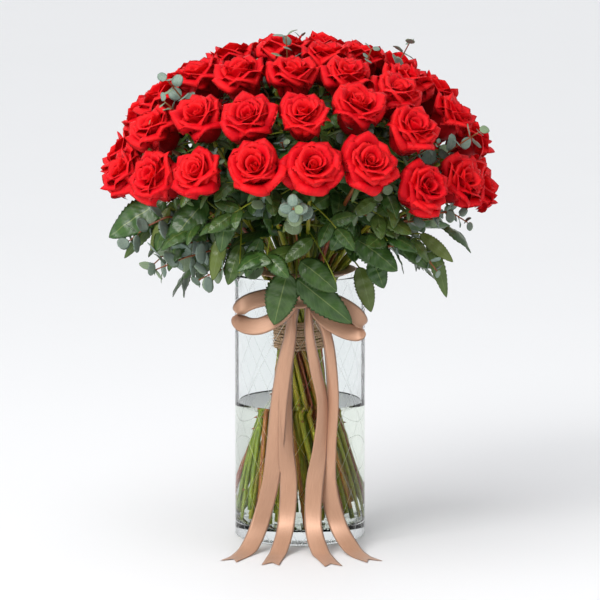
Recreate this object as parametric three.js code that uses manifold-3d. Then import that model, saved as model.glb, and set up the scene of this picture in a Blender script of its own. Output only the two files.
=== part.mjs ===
// A hand-tied dome of roses with eucalyptus, standing in a glass cylinder of water.
// Millimetres, +Z up. The origin is the middle of the vase's foot; the front looks along -Y.
// Bearings are in degrees round the vase, 0 at the front and positive towards +X.

import * as THREE from 'three';
import { mergeVertices } from 'three/addons/utils/BufferGeometryUtils.js';
import Module from 'manifold-3d';

const wasm = await Module();
wasm.setup();

// Vase and water
const VASE_RADIUS = 74;
const VASE_HEIGHT = 303;
const VASE_WALL = 4;
const VASE_BASE = 17;
const VASE_FOOT_ROUND = 2.5;
const WATER_LEVEL = 156;
const FIT_GAP = 0.3;

// Stems and the twine that ties them
const STEM_RADIUS = 2.6;
const STEM_CLEARANCE = 0.45;
const WALL_CLEARANCE = 6;
const STEM_ENDS_ABOVE_BASE = 1.5;
const STEM_END_SPREAD = 24;
const PACKING = 0.78;
const TIE_BELOW_RIM = 71;
const TIE_LENGTH = 36;
const TIE_THICKNESS = 3.4;
const TIE_TURN = 45;
const BEND_ABOVE_RIM = 20;
const ARRIVE_SHARE = 0.3;
const BUNDLE_ALLOWANCE = 1.1;

// Dome of blooms
const BLOOM_WIDTH = 57;
const BLOOM_HEIGHT = 50;
const BLOOM_GAP = 0.8;
const DOME_REACH = BLOOM_WIDTH * 3.42;
const DOME_RISE = BLOOM_WIDTH * 2.4;
const DOME_ABOVE_RIM = 104;
const PRESSED = 0.95;
const CUP_BELOW = 0.58;
const CUP_ABOVE = 0.42;
const CALYX_SHARE = 0.3;
const CALYX_HEIGHT = 4;
const SHOULDER_SHARE = 0.82;
const SHOULDER_BELOW = 9;
const WIDEST_ABOVE = 3;
const CROWN_SHARE = 0.9;
const CROWN_RISE = 0.7;
const STEM_INTO_BLOOM = 7;
const LEAN_FROM = 60;

// Leaves
const LEAF_THICKNESS = 1.2;
const ROSE_LEAF_WIDTH = 34;
const ROSE_LEAF_DROOP = 0.45;
const ROSE_LEAF_FROM = 0.62;
const LEAF_SINK = 1;
const LEAF_TIP_SHARE = 0.06;
const LEAF_FULLNESS = 0.8;
const SPRIG_STEM_RADIUS = 1.8;
const SPRIG_LEAF_SIZE = 19;
const SPRIG_ROOM = 9;
const SPRIG_LEAF_FROM = 0.985;
const SPRIG_LEAF_STEP = 0.03;
const SPRIG_LEAF_TAPER = 0.16;
const SPRIG_LEAF_ROUND = 0.8;
const SPRIG_LEAF_FORWARD = 0.9;

// Ribbon
const RIBBON_WIDTH = 20;
const RIBBON_THICKNESS = 1.2;
const KNOT_WIDTH = 17;
const KNOT_HEIGHT = 20;
const KNOT_DEPTH = 10;
const KNOT_BELOW_RIM = 17;
const NECK_ABOVE_RIM = 3;
const NECK_INSIDE_RIM = 4;
const NECK_BAND = 4.6;
const STRAP_SHARE = 0.7;
const STRAP_ABOVE_RIM = 5;
const STRAP_CLEARANCE = 4;
const LOOP_LENGTH = 58;
const LOOP_DEPTH = 6;
const LOOP_DROP = 0.36;
const LOOP_NARROW = 8;
const LOOP_BULGE = 34;
const LOOP_START = 0.08;
const LOOP_ROUND = 0.8;
const KNOT_CHAMFER = 4;
const KNOT_CLEARANCE = 0.6;
const TAIL_GAP = 0.9;
const TAIL_LAYERS = 2;
const TAIL_CLEARANCE = 0.1;
const TAIL_SIDE_GAP = 3;
const TAIL_SPLAY = 1.7;

// Smoothness
const VASE_SIDES = 48;
const TIE_SIDES = 28;
const BLOOM_SIDES = 8;
const STEM_SIDES = 5;
const BEND_STEPS = 5;
const LEAF_STEPS = 5;
const STRAP_STEPS = 6;
const LOOP_STEPS = 6;
const TAIL_STEPS = 14;
const WATER_STEM_SIDES = 6;
const DOME_ROUNDS = 600;
const BUNDLE_ROUNDS = 900;

const TIE_HEIGHT = VASE_HEIGHT - TIE_BELOW_RIM;
const TIE_TOP = TIE_HEIGHT + TIE_LENGTH / 2;
const DOME_HEIGHT = VASE_HEIGHT + DOME_ABOVE_RIM;
const VASE_INNER = VASE_RADIUS - VASE_WALL;

// The blooms: bearing, elevation on the dome, share of the usual width, leaf length (0 for none).
const BLOOMS = [
  [-97, 12, 0.96, 88], [-74, 5, 1.0, 0], [-52, 6, 1.05, 96], [-34, 11, 1.0, 90], [-14, 15, 1.05, 84],
  [4, 15, 1.05, 80], [23, 16, 1.06, 86], [42, 3, 1.05, 92], [62, 3, 1.0, 90], [82, -2, 0.98, 94],
  [96, 17, 0.98, 0],
  [-94, 37, 0.94, 0], [-64, 27, 1.0, 0], [-42, 35, 1.03, 0], [-19, 36, 1.03, 0], [2, 39, 1.0, 0],
  [23, 43, 1.06, 0], [44, 29, 1.03, 0], [80, 33, 0.98, 0],
  [-76, 55, 1.0, 0], [-39, 60, 1.02, 0], [-4, 63, 1.0, 0], [34, 65, 1.0, 0], [55, 50, 0.95, 0],
  [76, 52, 0.95, 0], [104, 46, 0.98, 0], [110, 68, 1.0, 0],
  [-108, 66, 1.0, 0], [-165, 84, 1.04, 0], [60, 82, 0.96, 0],
  [118, 2, 1.0, 90], [-125, 46, 0.98, 0], [-170, 66, 1.0, 0], [160, 66, 1.0, 0],
  [-117, 27, 0.98, 0], [117, 25, 0.98, 0],
];

// The close-set back of the dome: threes whose blooms press together. Bearing, elevation, turn.
const TREFOILS = [
  [138, 14, 0], [163, 18, 180], [-172, 14, 0], [-147, 18, 180],
  [136, 44, 180], [171, 44, 0], [-153, 44, 180], [-137, 12, 0],
];

// The eucalyptus: bearing, elevation, how far the tip stands past the blooms, count of leaves,
// and how much higher its stem arches over the rim than a rose's does.
const SPRIGS = [
  [-58, -37, 30, 5, 34], [-66, 44, 30, 3, 0], [-38, 80, 28, 2, 0], [63, 20, 30, 4, 0], [95, 62, 34, 2, 0],
  [-5, -4, 22, 3, 14],
];

// ---------------------------------------------------------------- small helpers

const radians = THREE.MathUtils.degToRad;

function vector(x, y, z) {
  return new THREE.Vector3(x, y, z);
}

// An even, repeatable spread of numbers from 0 to 1.
function scatter(index) {
  return (index * 0.618034) % 1;
}

// A closed geometry as a manifold solid.
function solidOf(geometry) {
  const bare = geometry.index ? geometry.toNonIndexed() : geometry.clone();
  bare.deleteAttribute('normal');
  bare.deleteAttribute('uv');
  const merged = mergeVertices(bare, 1e-4);
  return new wasm.Manifold(new wasm.Mesh({
    numProp: 3,
    vertProperties: new Float32Array(merged.attributes.position.array),
    triVerts: new Uint32Array(merged.index.array),
  }));
}

// A manifold solid back as a geometry.
function geometryOf(solid) {
  const mesh = solid.getMesh();
  const geometry = new THREE.BufferGeometry();
  geometry.setAttribute('position', new THREE.BufferAttribute(new Float32Array(mesh.vertProperties), 3));
  geometry.setIndex(new THREE.BufferAttribute(new Uint32Array(mesh.triVerts), 1));
  geometry.computeVertexNormals();
  return geometry;
}

function join(geometries) {
  const solids = geometries.map(solidOf);
  return solids.slice(1).reduce((sum, next) => sum.add(next), solids[0]);
}

// A profile of [radius, height] turned about the Z axis.
function turned(profile, sides) {
  const points = profile.map(([radius, height]) => new THREE.Vector2(radius, height));
  return new THREE.LatheGeometry(points, sides).rotateX(Math.PI / 2);
}

// A direction's quaternion from +Z.
function facing(direction) {
  return new THREE.Quaternion().setFromUnitVectors(vector(0, 0, 1), direction);
}

// A thin strip: a box whose length is carried along a path. place(along) gives the centre,
// the direction across and the direction through the strip; width(along) is its full width.
function strip(steps, thickness, width, place) {
  const geometry = new THREE.BoxGeometry(1, 1, 1, 1, 1, steps);
  const position = geometry.attributes.position;
  for (let i = 0; i < position.count; i += 1) {
    const along = position.getZ(i) + 0.5;
    const { centre, across, through } = place(along);
    const point = centre.clone()
      .addScaledVector(across, position.getX(i) * width(along))
      .addScaledVector(through, position.getY(i) * thickness);
    position.setXYZ(i, point.x, point.y, point.z);
  }
  return geometry;
}

// The strip's volume tells which way its faces look; a strip turned inside out is flipped.
function outward(geometry) {
  const solid = solidOf(geometry);
  if (solid.volume() > 0) {
    return geometry;
  }
  const flipped = geometry.index ? geometry.toNonIndexed() : geometry;
  const position = flipped.attributes.position;
  const corner = vector(0, 0, 0);
  const other = vector(0, 0, 0);
  for (let i = 0; i < position.count; i += 3) {
    corner.fromBufferAttribute(position, i);
    other.fromBufferAttribute(position, i + 1);
    position.setXYZ(i, other.x, other.y, other.z);
    position.setXYZ(i + 1, corner.x, corner.y, corner.z);
  }
  return flipped;
}

// ---------------------------------------------------------------- the dome's plan

// The point of the dome at a bearing and an elevation.
function domePoint(bearing, elevation) {
  const reach = DOME_REACH * Math.cos(radians(elevation));
  return vector(
    reach * Math.sin(radians(bearing)),
    -reach * Math.cos(radians(bearing)),
    DOME_HEIGHT + DOME_RISE * Math.sin(radians(elevation)),
  );
}

// The nearest point of the dome in its own proportions.
function ontoDome(point) {
  const unit = vector(point.x / DOME_REACH, point.y / DOME_REACH, (point.z - DOME_HEIGHT) / DOME_RISE);
  unit.normalize();
  return vector(unit.x * DOME_REACH, unit.y * DOME_REACH, DOME_HEIGHT + unit.z * DOME_RISE);
}

// The way a bloom looks: away from a point on the axis below the dome, and a little upwards.
function domeAxis(point) {
  return point.clone().sub(vector(0, 0, DOME_HEIGHT - LEAN_FROM)).normalize();
}

// One entry for each stem: where its bloom or spray sits and how much room it takes.
function plan() {
  const members = BLOOMS.map(([bearing, elevation, share, leaf]) => ({
    kind: 'rose', group: -1, at: domePoint(bearing, elevation), room: BLOOM_WIDTH * share / 2, leaf, arch: 0,
  }));
  TREFOILS.forEach(([bearing, elevation, turn], group) => {
    const centre = domePoint(bearing, elevation);
    const axis = domeAxis(centre);
    const side = vector(Math.cos(radians(bearing)), Math.sin(radians(bearing)), 0);
    const up = axis.clone().cross(side).normalize();
    for (let k = 0; k < 3; k += 1) {
      const angle = radians(turn + 90 + 120 * k);
      const at = centre.clone()
        .addScaledVector(side, Math.cos(angle) * BLOOM_WIDTH / 2)
        .addScaledVector(up, Math.sin(angle) * BLOOM_WIDTH / 2);
      members.push({ kind: 'rose', group, at: ontoDome(at), room: BLOOM_WIDTH / 2, leaf: 0, arch: 0 });
    }
  });
  SPRIGS.forEach(([bearing, elevation, stand, leaves, arch]) => {
    const at = domePoint(bearing, elevation);
    members.push({ kind: 'sprig', group: -1, at, room: SPRIG_ROOM, stand, leaves, arch });
  });
  return members;
}

// How far apart two neighbours sit: threes press together, all others keep a gap.
function spacing(a, b) {
  const touching = a.room + b.room;
  const mates = a.group >= 0 && a.group === b.group;
  return mates ? touching * Math.cos(Math.PI / BLOOM_SIDES) * PRESSED : touching + BLOOM_GAP;
}

// Neighbours push each other along the dome until every one has its room.
function settle(members, rounds) {
  for (let round = 0; round < rounds; round += 1) {
    for (let i = 0; i < members.length; i += 1) {
      for (let j = i + 1; j < members.length; j += 1) {
        const a = members[i];
        const b = members[j];
        const away = a.at.clone().sub(b.at);
        const distance = away.length();
        const wanted = spacing(a, b);
        const mates = a.group >= 0 && a.group === b.group;
        if (distance < wanted || mates) {
          away.multiplyScalar((wanted - distance) / distance / 2);
          a.at = ontoDome(a.at.clone().add(away));
          b.at = ontoDome(b.at.clone().sub(away));
        }
      }
    }
  }
}

// The stems' places where they are tied: the dome's plan drawn in to a close round bundle.
function bundle(members) {
  const pitch = 2 * STEM_RADIUS + STEM_CLEARANCE;
  const radius = pitch / 2 * Math.sqrt(members.length / PACKING) - pitch / 2;
  const order = [...members].sort((a, b) => b.at.z - a.at.z);
  order.forEach((member, rank) => {
    const reach = radius * Math.sqrt((rank + 0.5) / order.length);
    const angle = Math.atan2(member.at.y, member.at.x) + radians(TIE_TURN);
    member.slot = new THREE.Vector2(reach * Math.cos(angle), reach * Math.sin(angle));
  });
  for (let round = 0; round < BUNDLE_ROUNDS; round += 1) {
    for (let i = 0; i < order.length; i += 1) {
      for (let j = i + 1; j < order.length; j += 1) {
        const away = order[i].slot.clone().sub(order[j].slot);
        const distance = away.length();
        if (distance < pitch) {
          away.multiplyScalar((pitch - distance) / distance / 2);
          order[i].slot.add(away);
          order[j].slot.sub(away);
        }
      }
    }
    order.forEach((member) => {
      const reach = member.slot.length();
      if (reach > radius) {
        member.slot.multiplyScalar(1 - (reach - radius) / reach / 2);
      }
    });
  }
  return Math.max(...order.map((member) => member.slot.length()));
}

const members = plan();
settle(members, DOME_ROUNDS);
const TIE_REACH = bundle(members);

// Every stem is a straight line skewed round the axis, so the bundle is narrowest at the tie
// and its feet open out to the glass.
const LOWEST_END = VASE_BASE + STEM_ENDS_ABOVE_BASE;
const FOOT_SPREAD = (VASE_INNER - WALL_CLEARANCE - STEM_RADIUS) / TIE_REACH;
const TWIST = Math.sqrt(FOOT_SPREAD ** 2 - 1) / (TIE_HEIGHT - LOWEST_END);

function lineAt(slot, height) {
  const turn = (TIE_HEIGHT - height) * TWIST;
  return vector(slot.x - slot.y * turn, slot.y + slot.x * turn, height);
}

function bundleRadius(height) {
  return Math.hypot(1, (TIE_HEIGHT - height) * TWIST) * TIE_REACH + STEM_RADIUS * BUNDLE_ALLOWANCE;
}

// ---------------------------------------------------------------- stems and blooms

// A straight lower length and one bend, with its rings only where it bends.
class StemCurve extends THREE.Curve {
  constructor(foot, bend) {
    super();
    this.foot = foot;
    this.bend = bend;
    this.straight = 1 / (BEND_STEPS + 1);
  }

  getPoint(t) {
    if (t < this.straight) {
      return this.foot.clone().lerp(this.bend.v0, t / this.straight);
    }
    return this.bend.getPoint((t - this.straight) / (1 - this.straight));
  }

  getPointAt(u) {
    return this.getPoint(u);
  }

  getTangentAt(u) {
    return this.getTangent(u);
  }
}

// A stem runs straight to just above the rim's height, then bends out to meet its bloom end on.
function stemCurve(member, index, end, axis) {
  const foot = lineAt(member.slot, LOWEST_END + STEM_END_SPREAD * scatter(index + 1) ** 2);
  const start = lineAt(member.slot, TIE_TOP);
  const leave = lineAt(member.slot, VASE_HEIGHT + BEND_ABOVE_RIM + member.arch);
  const approach = end.clone().addScaledVector(axis, -ARRIVE_SHARE * end.distanceTo(leave));
  approach.z += member.arch;
  return new StemCurve(foot, new THREE.CubicBezierCurve3(start, leave, approach, end));
}

function ring(radius, sides) {
  const points = [];
  for (let k = 0; k < sides; k += 1) {
    const angle = 2 * Math.PI * k / sides;
    points.push(new THREE.Vector2(radius * Math.cos(angle), radius * Math.sin(angle)));
  }
  return new THREE.Shape(points);
}

function tube(curve, radius) {
  const steps = BEND_STEPS + 1;
  const options = { steps, bevelEnabled: false, extrudePath: curve };
  return new THREE.ExtrudeGeometry(ring(radius, STEM_SIDES), options);
}

// A bloom: hip and calyx, a widening cup and a shallow crown.
function bloom(member, axis) {
  const below = -CUP_BELOW * BLOOM_HEIGHT;
  const above = CUP_ABOVE * BLOOM_HEIGHT;
  const profile = [
    [0, below], [CALYX_SHARE * member.room, below + CALYX_HEIGHT],
    [SHOULDER_SHARE * member.room, -SHOULDER_BELOW], [member.room, WIDEST_ABOVE],
    [CROWN_SHARE * member.room, CROWN_RISE * above], [0, above],
  ];
  return turned(profile, BLOOM_SIDES)
    .applyQuaternion(facing(axis))
    .translate(member.at.x, member.at.y, member.at.z);
}

// A leaf that grows from a point, runs outwards and hangs towards its tip.
function leaf(root, out, length, width, droop) {
  const side = vector(0, 0, 1).cross(out).normalize();
  const place = (along) => {
    const fall = droop * along ** 2;
    const centre = root.clone().addScaledVector(out, length * along);
    centre.z -= length * fall;
    return { centre, across: side, through: vector(0, 0, 1) };
  };
  const outline = (along) => {
    const angle = Math.PI * (along + LEAF_TIP_SHARE / 2) / (1 + LEAF_TIP_SHARE);
    return width * (LEAF_TIP_SHARE + Math.sin(angle) ** LEAF_FULLNESS);
  };
  return outward(strip(LEAF_STEPS, LEAF_THICKNESS, outline, place));
}

// One rose: its stem, its bloom and, on the lower rows, its leaf.
function rose(member, index) {
  const axis = domeAxis(member.at);
  const end = member.at.clone().addScaledVector(axis, -CUP_BELOW * BLOOM_HEIGHT + STEM_INTO_BLOOM);
  const curve = stemCurve(member, index, end, axis);
  const pieces = [outward(tube(curve, STEM_RADIUS)), outward(bloom(member, axis))];
  if (member.leaf > 0) {
    const out = vector(member.at.x, member.at.y, 0).normalize();
    const root = curve.getPoint(ROSE_LEAF_FROM).addScaledVector(out, -LEAF_SINK);
    pieces.push(leaf(root, out, member.leaf, ROSE_LEAF_WIDTH, ROSE_LEAF_DROOP));
  }
  return join(pieces);
}

// A spray of eucalyptus: a thin stem with pairs of round leaves near its tip.
function sprig(member, index) {
  const axis = domeAxis(member.at);
  const end = member.at.clone().addScaledVector(axis, member.stand);
  const curve = stemCurve(member, index, end, axis);
  const pieces = [outward(tube(curve, SPRIG_STEM_RADIUS))];
  const side = vector(0, 0, 1).cross(axis).normalize();
  for (let k = 0; k < member.leaves; k += 1) {
    const sign = k % 2 ? -1 : 1;
    const out = side.clone().multiplyScalar(sign).addScaledVector(axis, SPRIG_LEAF_FORWARD).normalize();
    const root = curve.getPoint(SPRIG_LEAF_FROM - SPRIG_LEAF_STEP * k).addScaledVector(out, -LEAF_SINK);
    const size = SPRIG_LEAF_SIZE * (1 - SPRIG_LEAF_TAPER * k);
    pieces.push(leaf(root, out, size, size * SPRIG_LEAF_ROUND, 0));
  }
  return join(pieces);
}

// ---------------------------------------------------------------- vase, water and tie

function vase() {
  const rim = VASE_WALL / 2;
  const round = VASE_FOOT_ROUND;
  const corner = rim * (1 - Math.SQRT1_2);
  return turned([
    [0, 0], [VASE_RADIUS - round, 0], [VASE_RADIUS, round], [VASE_RADIUS, VASE_HEIGHT - rim],
    [VASE_RADIUS - corner, VASE_HEIGHT - corner], [VASE_RADIUS - rim, VASE_HEIGHT],
    [VASE_INNER + corner, VASE_HEIGHT - corner], [VASE_INNER, VASE_HEIGHT - rim],
    [VASE_INNER, VASE_BASE + round], [VASE_INNER - round, VASE_BASE], [0, VASE_BASE],
  ], VASE_SIDES);
}

// The water fills the glass up to its level, less the stems that stand in it.
function water(all) {
  const flat = Math.cos(Math.PI / VASE_SIDES);
  const outer = (VASE_INNER - FIT_GAP) * flat;
  const floor = VASE_BASE + FIT_GAP;
  const body = solidOf(turned([
    [0, floor], [outer - VASE_FOOT_ROUND, floor], [outer, floor + VASE_FOOT_ROUND],
    [outer, WATER_LEVEL], [0, WATER_LEVEL],
  ], VASE_SIDES));
  const stems = all.map((member, index) => {
    const radius = (member.kind === 'rose' ? STEM_RADIUS : SPRIG_STEM_RADIUS) + FIT_GAP;
    const foot = lineAt(member.slot, LOWEST_END + STEM_END_SPREAD * scatter(index + 1) ** 2 - 2 * FIT_GAP);
    const line = new THREE.LineCurve3(foot, lineAt(member.slot, TIE_HEIGHT));
    const options = { steps: 1, bevelEnabled: false, extrudePath: line };
    const around = ring(radius / Math.cos(Math.PI / WATER_STEM_SIDES), WATER_STEM_SIDES);
    return solidOf(outward(new THREE.ExtrudeGeometry(around, options)));
  });
  return stems.reduce((rest, stem) => rest.subtract(stem), body);
}

// The twine is wound round the narrowest part of the bundle.
function binding() {
  const low = TIE_HEIGHT - TIE_LENGTH / 2;
  const inner = (bundleRadius(low) + FIT_GAP) / Math.cos(Math.PI / TIE_SIDES);
  const outer = inner + TIE_THICKNESS;
  const round = TIE_THICKNESS / 3;
  return turned([
    [inner, low], [outer - round, low], [outer, low + round], [outer, TIE_TOP - round],
    [outer - round, TIE_TOP], [inner, TIE_TOP], [inner, low],
  ], TIE_SIDES);
}

// ---------------------------------------------------------------- ribbon

const NECK_HEIGHT = VASE_HEIGHT + NECK_ABOVE_RIM;
const KNOT_HEIGHT_CENTRE = VASE_HEIGHT - KNOT_BELOW_RIM;
const GLASS_FRONT = -VASE_RADIUS - KNOT_CLEARANCE;

// The ribbon goes round the neck of the bundle and comes forward over the rim to its knot.
function ribbonKnot() {
  const inner = VASE_INNER - NECK_INSIDE_RIM;
  const low = NECK_HEIGHT - NECK_BAND / 2;
  const high = NECK_HEIGHT + NECK_BAND / 2;
  const ringSolid = turned([
    [inner, low], [inner + RIBBON_THICKNESS, low], [inner + RIBBON_THICKNESS, high], [inner, high],
    [inner, low],
  ], TIE_SIDES);
  const path = new THREE.CatmullRomCurve3([
    vector(0, -inner - TAIL_CLEARANCE, NECK_HEIGHT),
    vector(0, -VASE_RADIUS + VASE_WALL - 1, VASE_HEIGHT + STRAP_ABOVE_RIM),
    vector(0, -VASE_RADIUS - STRAP_CLEARANCE, VASE_HEIGHT + STRAP_ABOVE_RIM / 2),
    vector(0, -VASE_RADIUS - KNOT_DEPTH / 2, KNOT_HEIGHT_CENTRE),
  ]);
  return join([outward(ringSolid), carried(path, STRAP_STEPS, () => KNOT_WIDTH * STRAP_SHARE), knot()]);
}

// A strip carried along a path that has no sideways turn: its width lies along X.
function carried(path, steps, width) {
  const across = vector(1, 0, 0);
  const place = (along) => {
    const centre = path.getPoint(along);
    const through = path.getTangent(along).cross(across).normalize();
    return { centre, across, through };
  };
  return outward(strip(steps, RIBBON_THICKNESS, width, place));
}

// The knot itself: a block with its four long corners taken off.
function knot() {
  const half = KNOT_WIDTH / 2;
  const tall = KNOT_HEIGHT / 2;
  const shape = new THREE.Shape([
    [-half, KNOT_CHAMFER - tall], [KNOT_CHAMFER - half, -tall],
    [half - KNOT_CHAMFER, -tall], [half, KNOT_CHAMFER - tall],
    [half, tall - KNOT_CHAMFER], [half - KNOT_CHAMFER, tall],
    [KNOT_CHAMFER - half, tall], [-half, tall - KNOT_CHAMFER],
  ].map(([x, y]) => new THREE.Vector2(x, y)));
  const geometry = new THREE.ExtrudeGeometry(shape, { depth: KNOT_DEPTH, steps: 1, bevelEnabled: false });
  return outward(geometry.rotateX(Math.PI / 2).translate(0, GLASS_FRONT, KNOT_HEIGHT_CENTRE));
}

// A loop of the bow, as a flat pad that hangs to one side of the knot.
function ribbonLoop(side) {
  const face = GLASS_FRONT - TAIL_LAYERS * (RIBBON_THICKNESS + TAIL_GAP) - LOOP_DEPTH / 2;
  const start = vector(side * (KNOT_WIDTH / 2 + 2 * FIT_GAP), face, KNOT_HEIGHT_CENTRE);
  const out = vector(side, 0, -LOOP_DROP).normalize();
  const place = (along) => ({
    centre: start.clone().addScaledVector(out, LOOP_LENGTH * along),
    across: vector(0, 0, 1),
    through: vector(0, 1, 0),
  });
  const outline = (along) => LOOP_NARROW + LOOP_BULGE * Math.sin(Math.PI * (LOOP_START + LOOP_ROUND * along));
  return solidOf(outward(strip(LOOP_STEPS, LOOP_DEPTH, outline, place)));
}

// The tails: x at the knot and at the end, how far in front the end lies, and the layer.
// The two that lie side by side leave the knot a ribbon's width apart.
const TAIL_START = (RIBBON_WIDTH + TAIL_SIDE_GAP) / 2;
const TAILS = {
  ribbon_tail_left: { from: -TAIL_START, to: -74, reach: 152, layer: 1 },
  ribbon_tail_left_inner: { from: -TAIL_START + TAIL_SIDE_GAP / 2, to: -32, reach: 172, layer: 0 },
  ribbon_tail_right_inner: { from: TAIL_START, to: 34, reach: 180, layer: 1 },
  ribbon_tail_right: { from: TAIL_START + 2 * TAIL_SIDE_GAP, to: 74, reach: 158, layer: 0 },
};

// Each tail's side view, from the knot to the table: height as a share of the drop, and how far
// it stands off the glass.
const TAIL_FALL = [[1, 0], [0.66, 0], [0.33, 2], [0.123, 6], [0.048, 16], [0, 38]];

// A tail: down the outside of the glass, a soft turn at the foot, and out along the table.
function ribbonTail({ from, to, reach, layer }) {
  const face = GLASS_FRONT - RIBBON_THICKNESS / 2 - layer * (RIBBON_THICKNESS + TAIL_GAP);
  const rest = RIBBON_THICKNESS / 2 + TAIL_CLEARANCE;
  const drop = KNOT_HEIGHT_CENTRE - KNOT_HEIGHT / 2 - FIT_GAP - rest;
  const stops = TAIL_FALL.map(([share, off]) => vector(0, face - off, rest + drop * share));
  const path = new THREE.CatmullRomCurve3([...stops, vector(0, -reach, rest)]);
  const across = vector(1, 0, 0);
  const place = (along) => {
    const centre = path.getPoint(along);
    const through = path.getTangent(along).cross(across).normalize();
    centre.x = from + (to - from) * along ** TAIL_SPLAY;
    centre.z = Math.max(centre.z, rest);
    return { centre, across, through };
  };
  return solidOf(outward(strip(TAIL_STEPS, RIBBON_THICKNESS, () => RIBBON_WIDTH, place)));
}

// ---------------------------------------------------------------- the assembly

const MATERIALS = {
  glass: { color: '#dfe9ea', roughness: 0.05, metalness: 0, transparent: true, opacity: 0.35 },
  water: { color: '#e6efe9', roughness: 0.02, metalness: 0, transparent: true, opacity: 0.4 },
  rose: { color: '#c8141c', roughness: 0.55, metalness: 0 },
  leaf: { color: '#8fa596', roughness: 0.6, metalness: 0 },
  twine: { color: '#a58a63', roughness: 0.95, metalness: 0 },
  satin: { color: '#c99a7e', roughness: 0.35, metalness: 0 },
};

const object = new THREE.Group();

function put(name, solid, look) {
  const geometry = solid.isBufferGeometry ? solid : geometryOf(solid);
  const mesh = new THREE.Mesh(geometry, new THREE.MeshStandardMaterial(MATERIALS[look]));
  mesh.name = name;
  object.add(mesh);
}

put('vase', outward(vase()), 'glass');
put('water', water(members), 'water');
put('jute_binding', outward(binding()), 'twine');
put('ribbon_knot', ribbonKnot(), 'satin');
put('ribbon_loop_left', ribbonLoop(-1), 'satin');
put('ribbon_loop_right', ribbonLoop(1), 'satin');
Object.entries(TAILS).forEach(([name, tail]) => put(name, ribbonTail(tail), 'satin'));

const numbered = (index) => String(index + 1).padStart(2, '0');

members.forEach((member, index) => {
  if (member.kind === 'rose' && member.group < 0) {
    put(`rose_${numbered(index)}`, rose(member, index), 'rose');
  }
});
TREFOILS.forEach((_, group) => {
  const three = members.map((member, index) => [member, index]).filter(([member]) => member.group === group);
  const solids = three.map(([member, index]) => rose(member, index));
  put(`rose_three_${numbered(group)}`, solids[0].add(solids[1]).add(solids[2]), 'rose');
});
members.filter((member) => member.kind === 'sprig').forEach((member, count) => {
  put(`eucalyptus_${numbered(count)}`, sprig(member, members.indexOf(member)), 'leaf');
});

export default object;
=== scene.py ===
# %% [markdown]
# # A dome of red roses in a glass cylinder
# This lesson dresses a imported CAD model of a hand-tied bunch: every stem, bloom and ribbon tail
# already has its place and size there, and here each one gets the surface of the real thing.
# The frame is loaded first, because all places are read from it. Lengths are in metres, +Z is up,
# and the front of the bunch looks along -Y.

# %% The frame
import itertools
import math

import bpy
import numpy as np
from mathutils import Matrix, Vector


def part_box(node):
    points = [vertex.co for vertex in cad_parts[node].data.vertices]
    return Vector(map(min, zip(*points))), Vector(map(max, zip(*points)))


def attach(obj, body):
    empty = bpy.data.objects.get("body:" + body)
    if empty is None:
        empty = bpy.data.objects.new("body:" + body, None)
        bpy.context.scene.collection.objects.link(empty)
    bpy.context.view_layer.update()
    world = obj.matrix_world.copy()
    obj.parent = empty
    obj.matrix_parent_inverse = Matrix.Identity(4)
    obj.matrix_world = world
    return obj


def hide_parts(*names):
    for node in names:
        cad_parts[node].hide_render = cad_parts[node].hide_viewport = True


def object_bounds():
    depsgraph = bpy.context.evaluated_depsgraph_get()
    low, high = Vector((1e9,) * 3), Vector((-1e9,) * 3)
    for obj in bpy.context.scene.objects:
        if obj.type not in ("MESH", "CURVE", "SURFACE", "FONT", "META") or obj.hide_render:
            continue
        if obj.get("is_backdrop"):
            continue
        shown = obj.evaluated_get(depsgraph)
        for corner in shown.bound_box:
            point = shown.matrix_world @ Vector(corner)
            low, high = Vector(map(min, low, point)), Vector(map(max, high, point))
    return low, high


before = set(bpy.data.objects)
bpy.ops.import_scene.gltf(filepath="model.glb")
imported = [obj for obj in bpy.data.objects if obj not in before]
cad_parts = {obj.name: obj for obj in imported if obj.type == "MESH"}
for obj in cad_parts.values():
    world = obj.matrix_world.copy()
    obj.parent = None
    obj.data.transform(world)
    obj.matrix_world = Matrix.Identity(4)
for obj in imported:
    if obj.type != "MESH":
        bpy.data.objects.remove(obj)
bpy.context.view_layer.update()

MM = 0.001

# %% [markdown]
# ## Two helpers for every mesh
# A petal, a leaf, a ribbon and the vase are all the same thing to a computer: points on a grid,
# worked out from two parameters. So one helper lists a grid's faces, and one turns arrays of
# points into a Blender object. Both use whole arrays, which is far quicker than a loop over points.

# %% Grids and pieces
def into_scene(thing):
    """Links a new object to the scene and hands it back."""
    bpy.context.scene.collection.objects.link(thing)
    return thing


def grid_quads(rows, columns, closed=False):
    """The quads of a grid whose points are numbered row by row. A closed grid also joins its
    last column to its first."""
    row = np.arange(rows - 1)[:, None] * columns
    column = np.arange(columns if closed else columns - 1)[None, :]
    after = (column + 1) % columns
    corners = [row + column, row + after, row + columns + after, row + columns + column]
    return np.stack(corners, -1).reshape(-1, 4)


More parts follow.
